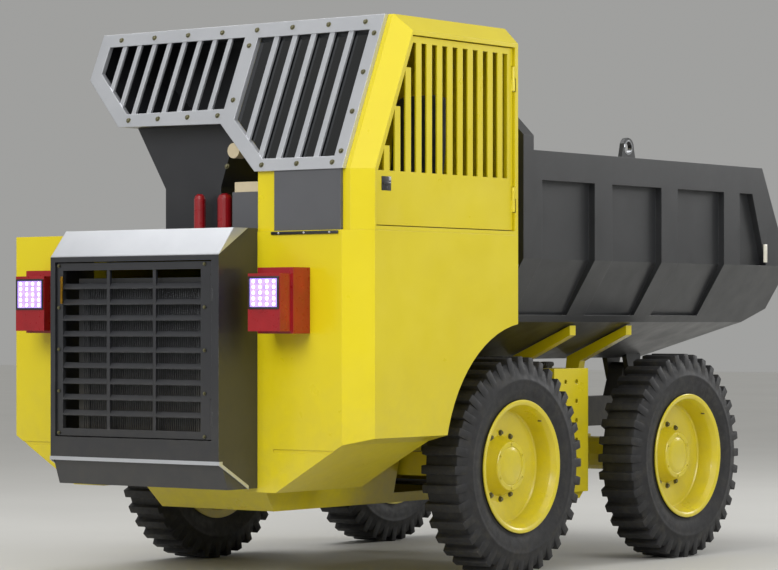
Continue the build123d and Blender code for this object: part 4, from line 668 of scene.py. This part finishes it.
zinc = bare_metal("plated_steel", "6f6d5c", "8f8b6a", 0.28, 0.50, 0.003)
for wheel_name in wheel_names:
    body = "wheel_" + wheel_name
    outward = 1 if wheel_name.endswith("left") else -1
    way = (outward, 0, 0)
    axle = middle_of("tyre_" + wheel_name)
    hub = Vector((hub_face_x * outward, axle.y, axle.z))
    dish = bmesh.new()
    section = [(reach * outward, radius) for reach, radius in rim_section]
    add_turned(dish, section, Matrix.Translation(hub), rim_steps)
    bmesh.ops.remove_doubles(dish, verts=dish.verts, dist=0.0001)
    for bolt in range(cap_bolt_count):
        turn = math.tau * (bolt + 0.5) / cap_bolt_count
        spot = about_axle(hub, cap_bolt_face * outward, cap_bolt_circle, turn)
        add_bolt(dish, spot, way, cap_bolt_width, cap_bolt_height)
    yellow = painted["yellow_paint"]
    rim = new_piece("rim_steel_" + wheel_name, dish, body, yellow, rim_sharp)
    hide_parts("rim_" + wheel_name)

    nuts = bmesh.new()
    for nut in range(nut_count):
        turn = math.tau * nut / nut_count
        spot = about_axle(hub, nut_face * outward, nut_circle, turn)
        add_bolt(nuts, spot, way, nut_width, nut_height)
    valve = about_axle(hub, valve_face * outward, valve_circle, valve_turn)
    add_turned(nuts, valve_section, towards(valve, way), valve_steps)
    new_piece("wheel_nuts_" + wheel_name, nuts, body, zinc)


# Grille module: hexagon bolts down both sides of the louvred door, a brass quarter-turn latch on
# its free side, and the radiator's core of thin upright fins behind the louvres.
door_low, door_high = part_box("grille_door")
radiator_low, radiator_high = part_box("radiator")
door_bolt_inset = 0.022
door_bolt_rows = 5
door_bolt_width = 0.020
door_bolt_height = 0.012
door_hinge_margin = 0.100
# The bolts' seats and the latch's faces lie this far behind the hinge knuckles' fronts
door_bolt_seat = 0.0135
latch_front, latch_rear = 0.002, 0.016
latch_left, latch_right = -0.790, -0.766
latch_bottom, latch_top = 2.250, 2.470
latch_edge = 0.005
latch_boss_place = (-0.778, 2.440)
latch_boss_section = [(0, 0), (0, 0.016), (0.010, 0.014), (0.012, 0.0)]
latch_boss_steps = 24
fin_pitch = 0.020
fin_width = 0.003
fin_depth = 0.006
fin_edge = 0.0006
core_margin = 0.060

seat_y = door_low.y + door_bolt_seat
bolt_span = door_high.z - door_low.z - 2 * door_bolt_inset
door_bolts = bmesh.new()
for row in range(door_bolt_rows):
    bolt_z = door_low.z + door_bolt_inset + bolt_span * row / (door_bolt_rows - 1)
    for bolt_x in (door_low.x + door_bolt_inset, door_high.x - door_hinge_margin):
        spot = (bolt_x, seat_y, bolt_z)
        add_bolt(door_bolts, spot, (0, -1, 0), door_bolt_width, door_bolt_height)
new_piece("grille_door_bolts", door_bolts, "grille_door", zinc)

brass = bare_metal("worn_brass", "7d5c1c", "b98a2c", 0.22, 0.45, 0.003)
latch = bmesh.new()
low = (latch_left, door_low.y + latch_front, latch_bottom)
high = (latch_right, door_low.y + latch_rear, latch_top)
add_box(latch, low, high, latch_edge)
boss = towards((latch_boss_place[0], seat_y, latch_boss_place[1]), (0, -1, 0))
add_turned(latch, latch_boss_section, boss, latch_boss_steps)
new_piece("grille_latch", latch, "grille_door", brass)

aluminium = bare_metal("fin_aluminium", "4b4d50", "7b7d80", 0.35, 0.60, 0.004)
fin_front, fin_rear = radiator_low.y - fin_depth, radiator_low.y + fin_width
fin_bottom, fin_top = radiator_low.z + core_margin, radiator_high.z - core_margin
fins = bmesh.new()
fin_x = radiator_low.x + core_margin
while fin_x < radiator_high.x - core_margin:
    low, high = (fin_x, fin_front, fin_bottom), (fin_x + fin_width, fin_rear, fin_top)
    add_box(fins, low, high, fin_edge)
    fin_x += fin_pitch
new_piece("radiator_fins", fins, "chassis", aluminium)


# Tipping tub: charcoal enamel outside, and inside it steel that loads have scoured bright along
# the floor and walls. A pale marker lamp stands on each side near the tail, and each lifting eye
# has a bright collar.
tub_color = "2a2b2d"
tub_cloud = "212224"
tub_cloud_size = 0.9
tub_peel_size = 0.006
tub_peel_depth = 0.0003
scour_color = "77756f"
scour_rust = "4d3c30"
scour_rust_size = 0.12
scour_draw = (9.0, 1.0, 9.0)
scour_size = 0.5
# It begins at the floor's top face, and fades out below the rails
scour_bottom = 1.86
scour_bottom_full = 1.88
scour_top = 3.50
scour_top_full = 3.15
# Corners of the tub's outer side, seen from behind: (half width, height)
tub_bottom = (0.700, 1.774)
tub_fold = (1.444, 2.104)
tub_knee = (1.774, 2.632)
tub_toe_y = -0.3545
tub_front_y = -0.7675
tub_wall = 0.110
marker_low = (1.774, 3.150, 2.660)
marker_high = (1.792, 3.205, 2.830)
marker_edge = 0.006
marker_color = "e6e2d4"
marker_cloud = "cfcabb"
eye_place = (1.719, 0.8925, 3.629)
eye_steps = 48
# A collar through and round the eye: (reach, radius)
eye_collar = [
    (-0.0215, 0.050), (-0.0215, 0.063), (-0.019, 0.066), (0.019, 0.066), (0.0215, 0.063),
    (0.0215, 0.050),
]


def scoured_enamel():
    """Charcoal enamel that gives way inside the tub to scoured steel with rust in its pits."""
    material, tree, place = new_material("scoured_enamel")
    tone = clouded(tree, place, tub_cloud_size, tub_cloud, tub_color)
    axes = add_node(tree, "ShaderNodeSeparateXYZ", {"Vector": place}).outputs

    # How deep a point lies under the outer skin, from the side slopes and from the sloping nose
    across = worked_out(tree, "ABSOLUTE", axes["X"])
    knee = ranged(tree, axes["Z"], tub_fold[1], tub_knee[1], tub_fold[0], tub_knee[0])
    fold = ranged(tree, axes["Z"], tub_bottom[1], tub_fold[1], tub_bottom[0], tub_fold[0])
    skin = worked_out(tree, "MINIMUM", knee, fold)
    from_side = worked_out(tree, "SUBTRACT", skin, across)
    nose = ranged(tree, axes["Z"], tub_bottom[1], tub_fold[1], tub_toe_y, tub_front_y)
    from_nose = worked_out(tree, "SUBTRACT", axes["Y"], nose)
    depth = worked_out(tree, "MINIMUM", from_side, from_nose)

    # The scoured part lies within the walls, from the floor's top face to below the rails
    within = ranged(tree, depth, tub_wall / 2, tub_wall * 0.8, 0.0, 1.0)
    below = ranged(tree, axes["Z"], scour_top, scour_top_full, 0.0, 1.0)
    above = ranged(tree, axes["Z"], scour_bottom, scour_bottom_full, 0.0, 1.0)
    inside = worked_out(tree, "MULTIPLY", within, below)
    inside = worked_out(tree, "MULTIPLY", inside, above)
    drawn = {"Vector": place, "Scale": scour_draw}
    stretch = add_node(tree, "ShaderNodeMapping", drawn).outputs["Vector"]
    streaks = ranged(tree, noise(tree, stretch, scour_size, 8.0, 0.65), 0.38, 0.60, 0.0, 1.0)
    scoured = worked_out(tree, "MULTIPLY", inside, streaks)
    steel = clouded(tree, place, scour_rust_size, scour_color, scour_rust, 7.0)
    covered = mixed(tree, scoured, tone, steel)

    metal = ranged(tree, scoured, 0.0, 1.0, 0.0, 0.7)
    gloss = uneven_gloss(tree, place, 0.25, 0.36, 0.50, 5.0)
    rounded = eased_edges(tree, edge_radius)
    peel = grained(tree, noise(tree, place, tub_peel_size, 3.0), tub_peel_depth, 0.4, rounded)
    finish_surface(
        tree, Base_Color=covered, Metallic=metal, Roughness=gloss, Coat_Weight=0.2,
        Coat_Roughness=0.2, Normal=peel,
    )
    return material


wear("dump_body", scoured_enamel())
marker_lens = gloss_moulding("marker_lens", marker_color, marker_cloud, 0.2)
for side, sign in both_sides:
    marker = bmesh.new()
    x_low, x_high = sorted((sign * marker_low[0], sign * marker_high[0]))
    add_box(marker, (x_low, *marker_low[1:]), (x_high, *marker_high[1:]), marker_edge)
    new_piece("marker_lamp_" + side, marker, "dump_body", marker_lens)

    collar = bmesh.new()
    eye = (sign * eye_place[0], *eye_place[1:])
    add_turned(collar, eye_collar + eye_collar[:1], towards(eye, (1, 0, 0)), eye_steps)
    bmesh.ops.remove_doubles(collar, verts=collar.verts, dist=0.0001)
    new_piece("lifting_eye_collar_" + side, collar, "dump_body", chrome)


# Guard over cab and air housing: a hexagon bolt at each place where the silver plate is fixed
# to the posts and rails behind it.
guard_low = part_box("guard_frame")[0]
rake_run = 0.545
rake_rise = 1.229
guard_bolt_width = 0.030
guard_bolt_height = 0.016
# Rows of bolts: (first x, first z, last x, last z, number)
guard_rows = [
    (-1.02, 4.458, 1.56, 4.458, 8),
    (-0.66, 3.757, 0.30, 3.757, 4),
    (1.678, 3.420, 1.678, 4.360, 4),
    (0.560, 3.334, 1.620, 3.334, 4),
    (0.417, 3.880, 0.417, 4.330, 2),
]

guard_way = Vector((0, -rake_rise, rake_run)).normalized()
guard_bolts = bmesh.new()
for first_x, first_z, last_x, last_z, number in guard_rows:
    for bolt in range(number):
        share = bolt / (number - 1)
        bolt_x = first_x + (last_x - first_x) * share
        bolt_z = first_z + (last_z - first_z) * share
        bolt_y = guard_low.y + (bolt_z - guard_low.z) * rake_run / rake_rise
        spot = (bolt_x, bolt_y, bolt_z)
        add_bolt(guard_bolts, spot, guard_way, guard_bolt_width, guard_bolt_height)
new_piece("guard_bolts", guard_bolts, "chassis", zinc)


# Driver's seat: a cushion and a raked back, stuffed and sewn with cross channels, on a black
# pedestal with a bellows round its spring. The steering column is black plastic too.
seat_middle_x = 1.330
seat_half_width = 0.260
seat_front = -2.1245
cushion_rear = -1.7345
seat_rear = -1.6045
cushion_bottom = 3.173
cushion_top = 3.303
cushion_crown = 0.020
cushion_channels = (-0.45, 0.0, 0.45)
seat_back_top = 3.983
seat_back_depth = 0.130
seat_back_crown = 0.018
seat_back_channels = (-0.55, -0.15, 0.25, 0.62)
seat_rake = 0.090
seat_sharp = 60
# The cushion runs in under the back, which is set back a little and shorter at both ends
cushion_tuck = 0.010
back_gap = 0.004
back_end_gap = 0.020
# The pads' stuffing: cuts to a side, how square the sides and the face stay, how far the sides
# pull in between the corners, and the channels' depth and width
pad_cuts = 23
pad_side_power = 7
pad_face_power = 4
pad_face_ease = 0.6
pad_waist = 0.03
channel_depth = 0.012
channel_width = 0.035
cloth_color = "3a3d42"
cloth_cloud = "2c2f33"
cloth_wear_size = 0.07
rib_scale = 90.0
rib_depth = 0.0006
# The pedestal's foot, column and seat pan: (low corner, high corner, edge)
pedestal_foot = ((1.160, -1.9945, 2.873), (1.500, -1.7345, 2.910), 0.006)
pedestal_column = ((1.175, -1.9800, 2.910), (1.485, -1.7500, 3.120), 0.010)
pedestal_pan = ((1.110, -2.0900, 3.120), (1.550, -1.6700, 3.176), 0.012)
bellows_folds = 5
bellows_bottom = 2.925
bellows_pitch = 0.038
bellows_height = 0.022
bellows_edge = 0.009


def woven_cloth():
    """Ribbed upholstery cloth, clouded darker in patches."""
    material, tree, place = new_material("woven_cloth")
    ribs = {"Vector": place, "Scale": rib_scale, "Distortion": 0.6}
    weave = add_node(tree, "ShaderNodeTexWave", ribs, wave_type="BANDS").outputs["Fac"]
    worn = ranged(tree, noise(tree, place, cloth_wear_size, 6.0), 0.35, 0.7, 0.0, 1.0)
    tone = mixed(tree, worn, linear(cloth_cloud), linear(cloth_color))
    threads = grained(tree, weave, rib_depth, 0.6)
    finish_surface(tree, Base_Color=tone, Roughness=0.88, Sheen_Weight=0.3, Normal=threads)
    return material


def add_pad(form, centre, half, lean, crown, channels):
    """Add a stuffed pad: sides drawn in between its corners, a crowned face, sewn channels."""
    points = bmesh.ops.create_cube(form, size=2)["verts"]
    edges = list({line for point in points for line in point.link_edges})
    bmesh.ops.subdivide_edges(form, edges=edges, cuts=pad_cuts, use_grid_fill=True)
    for point in form.verts:
        across, along, up = point.co
        sides = abs(across) ** pad_side_power + abs(along) ** pad_side_power
        size = (sides + abs(up) ** pad_face_power) ** (1 / pad_side_power)
        across, along, up = across / size, along / size, up / size ** pad_face_ease
        rise = crown * (1 - across ** 2) * (1 - along ** 2) * max(up, 0)
        for channel in channels:
            dip = math.exp(-((along - channel) / channel_width) ** 2)
            rise -= channel_depth * dip * max(up, 0) * (1 - across ** 6)
        pulled = 1 - pad_waist * (1 - up ** 2) * (across ** 4 + along ** 4)
        point.co = Vector((
            across * half[0] * pulled, along * half[1] * pulled, up * (half[2] - crown) + rise,
        ))
    turn = Matrix.Translation(centre) @ Matrix.Rotation(lean, 4, "X")
    bmesh.ops.transform(form, matrix=turn, verts=form.verts)


def add_boxes(form, boxes):
    """Add a list of boxes, each a low corner, a high corner and an edge."""
    for low, high, edge in boxes:
        add_box(form, low, high, edge)


cloth = woven_cloth()
cushion_half_depth = (cushion_rear - seat_front) / 2 + cushion_tuck
cushion_middle = (
    seat_middle_x, seat_front + cushion_half_depth, (cushion_bottom + cushion_top) / 2,
)
cushion_half = (seat_half_width, cushion_half_depth, (cushion_top - cushion_bottom) / 2)
cushion = bmesh.new()
add_pad(cushion, cushion_middle, cushion_half, 0.0, cushion_crown, cushion_channels)
seat_cushion = new_piece("seat_cushion", cushion, "chassis", cloth, seat_sharp)
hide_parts("driver_seat")

back_lean = math.radians(90) - math.atan2(seat_rake, seat_back_top - cushion_top)
back_middle = (
    seat_middle_x, (cushion_rear + seat_rear + seat_rake) / 2 + back_gap,
    (cushion_bottom + seat_back_top) / 2,
)
back_half_height = (seat_back_top - cushion_bottom) / 2 - back_end_gap
back_half = (seat_half_width, back_half_height, seat_back_depth / 2)
backrest = bmesh.new()
add_pad(backrest, back_middle, back_half, back_lean, seat_back_crown, seat_back_channels)
seat_back = new_piece("seat_back", backrest, "chassis", cloth, seat_sharp)
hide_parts("driver_seat")

pedestal = bmesh.new()
add_boxes(pedestal, (pedestal_foot, pedestal_column, pedestal_pan))
foot_low, foot_high = pedestal_foot[:2]
for fold in range(bellows_folds):
    fold_bottom = bellows_bottom + fold * bellows_pitch
    low = (*foot_low[:2], fold_bottom)
    high = (*foot_high[:2], fold_bottom + bellows_height)
    add_box(pedestal, low, high, bellows_edge)
seat_pedestal = new_piece("seat_pedestal", pedestal, "chassis", bezel_black)
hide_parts("driver_seat")
wear("steering_column", bezel_black)


# Cab fittings: a pull handle with a lock on the door, a rubber sill under the grey scuttle panel,
# held by three bright studs, and a round steel catch on the cab's rear edge.
handle_face_x = 1.8935
handle_plate = (
    (handle_face_x - 0.004, -2.862, 3.120), (handle_face_x + 0.004, -2.742, 3.230), 0.003,
)
handle_bar = ((handle_face_x, -2.850, 3.165), (handle_face_x + 0.014, -2.754, 3.187), 0.005)
lock_place = (handle_face_x, -2.802, 3.142)
lock_steps = 24
sill_low = (1.035, -3.1665, 2.782)
sill_high = (1.700, -3.1500, 2.808)
sill_edge = 0.006
stud_shares = (0.12, 0.50, 0.88)
stud_width = 0.013
stud_height = 0.008
catch_place = (1.868, -1.0475, 2.566)
catch_steps = 36
# Sections of lock and catch: (reach, radius)
lock_section = [(0, 0), (0, 0.014), (0.007, 0.013), (0.008, 0.0)]
catch_section = [
    (0, 0), (0, 0.040), (0.012, 0.040), (0.016, 0.036), (0.016, 0.026), (0.034, 0.022),
    (0.040, 0.014), (0.041, 0),
]

handle = bmesh.new()
add_boxes(handle, (handle_plate, handle_bar))
add_turned(handle, lock_section, towards(lock_place, (1, 0, 0)), lock_steps)
new_piece("cab_door_handle", handle, "cab_door", bezel_black)

sill = bmesh.new()
add_box(sill, sill_low, sill_high, sill_edge)
new_piece("scuttle_sill", sill, "chassis", bezel_black)
studs = bmesh.new()
stud_z = (sill_low[2] + sill_high[2]) / 2
for share in stud_shares:
    spot = (sill_low[0] + (sill_high[0] - sill_low[0]) * share, sill_low[1], stud_z)
    add_bolt(studs, spot, (0, -1, 0), stud_width, stud_height)
new_piece("scuttle_sill_studs", studs, "chassis", silver)

catch = bmesh.new()
add_turned(catch, catch_section, towards(catch_place, (0, 1, 0)), catch_steps)
new_piece("cab_side_catch", catch, "chassis", silver)


# Side tanks, for fuel and oil: a black filler cap with a ribbed grip, on a short neck, stands on
# top of each yellow tank.
tank_low, tank_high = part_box("side_tanks")
cap_x = 1.14
cap_radius = 0.062
cap_steps = 48
# The neck and the cap over it: (reach, radius)
cap_section = [
    (-0.004, 0.0), (-0.004, 0.050), (0.016, 0.050), (0.016, cap_radius - 0.004),
    (0.020, cap_radius), (0.050, cap_radius), (0.056, cap_radius - 0.006), (0.058, 0.030),
    (0.058, 0.0),
]
rib_count = 24
rib_foot = 0.024
rib_steps = 8
rib_section = [(0, 0), (0, 0.003), (0.022, 0.003), (0.024, 0)]
upward = (0, 0, 1)

for side, sign in both_sides:
    foot = Vector((sign * cap_x, (tank_low.y + tank_high.y) / 2, tank_high.z))
    cap = bmesh.new()
    add_turned(cap, cap_section, towards(foot, upward), cap_steps)
    for rib in range(rib_count):
        turn = math.tau * rib / rib_count
        spot = foot + Vector((cap_radius * math.cos(turn), cap_radius * math.sin(turn), rib_foot))
        add_turned(cap, rib_section, towards(spot, upward), rib_steps)
    new_piece("tank_cap_" + side, cap, "chassis", bezel_black)
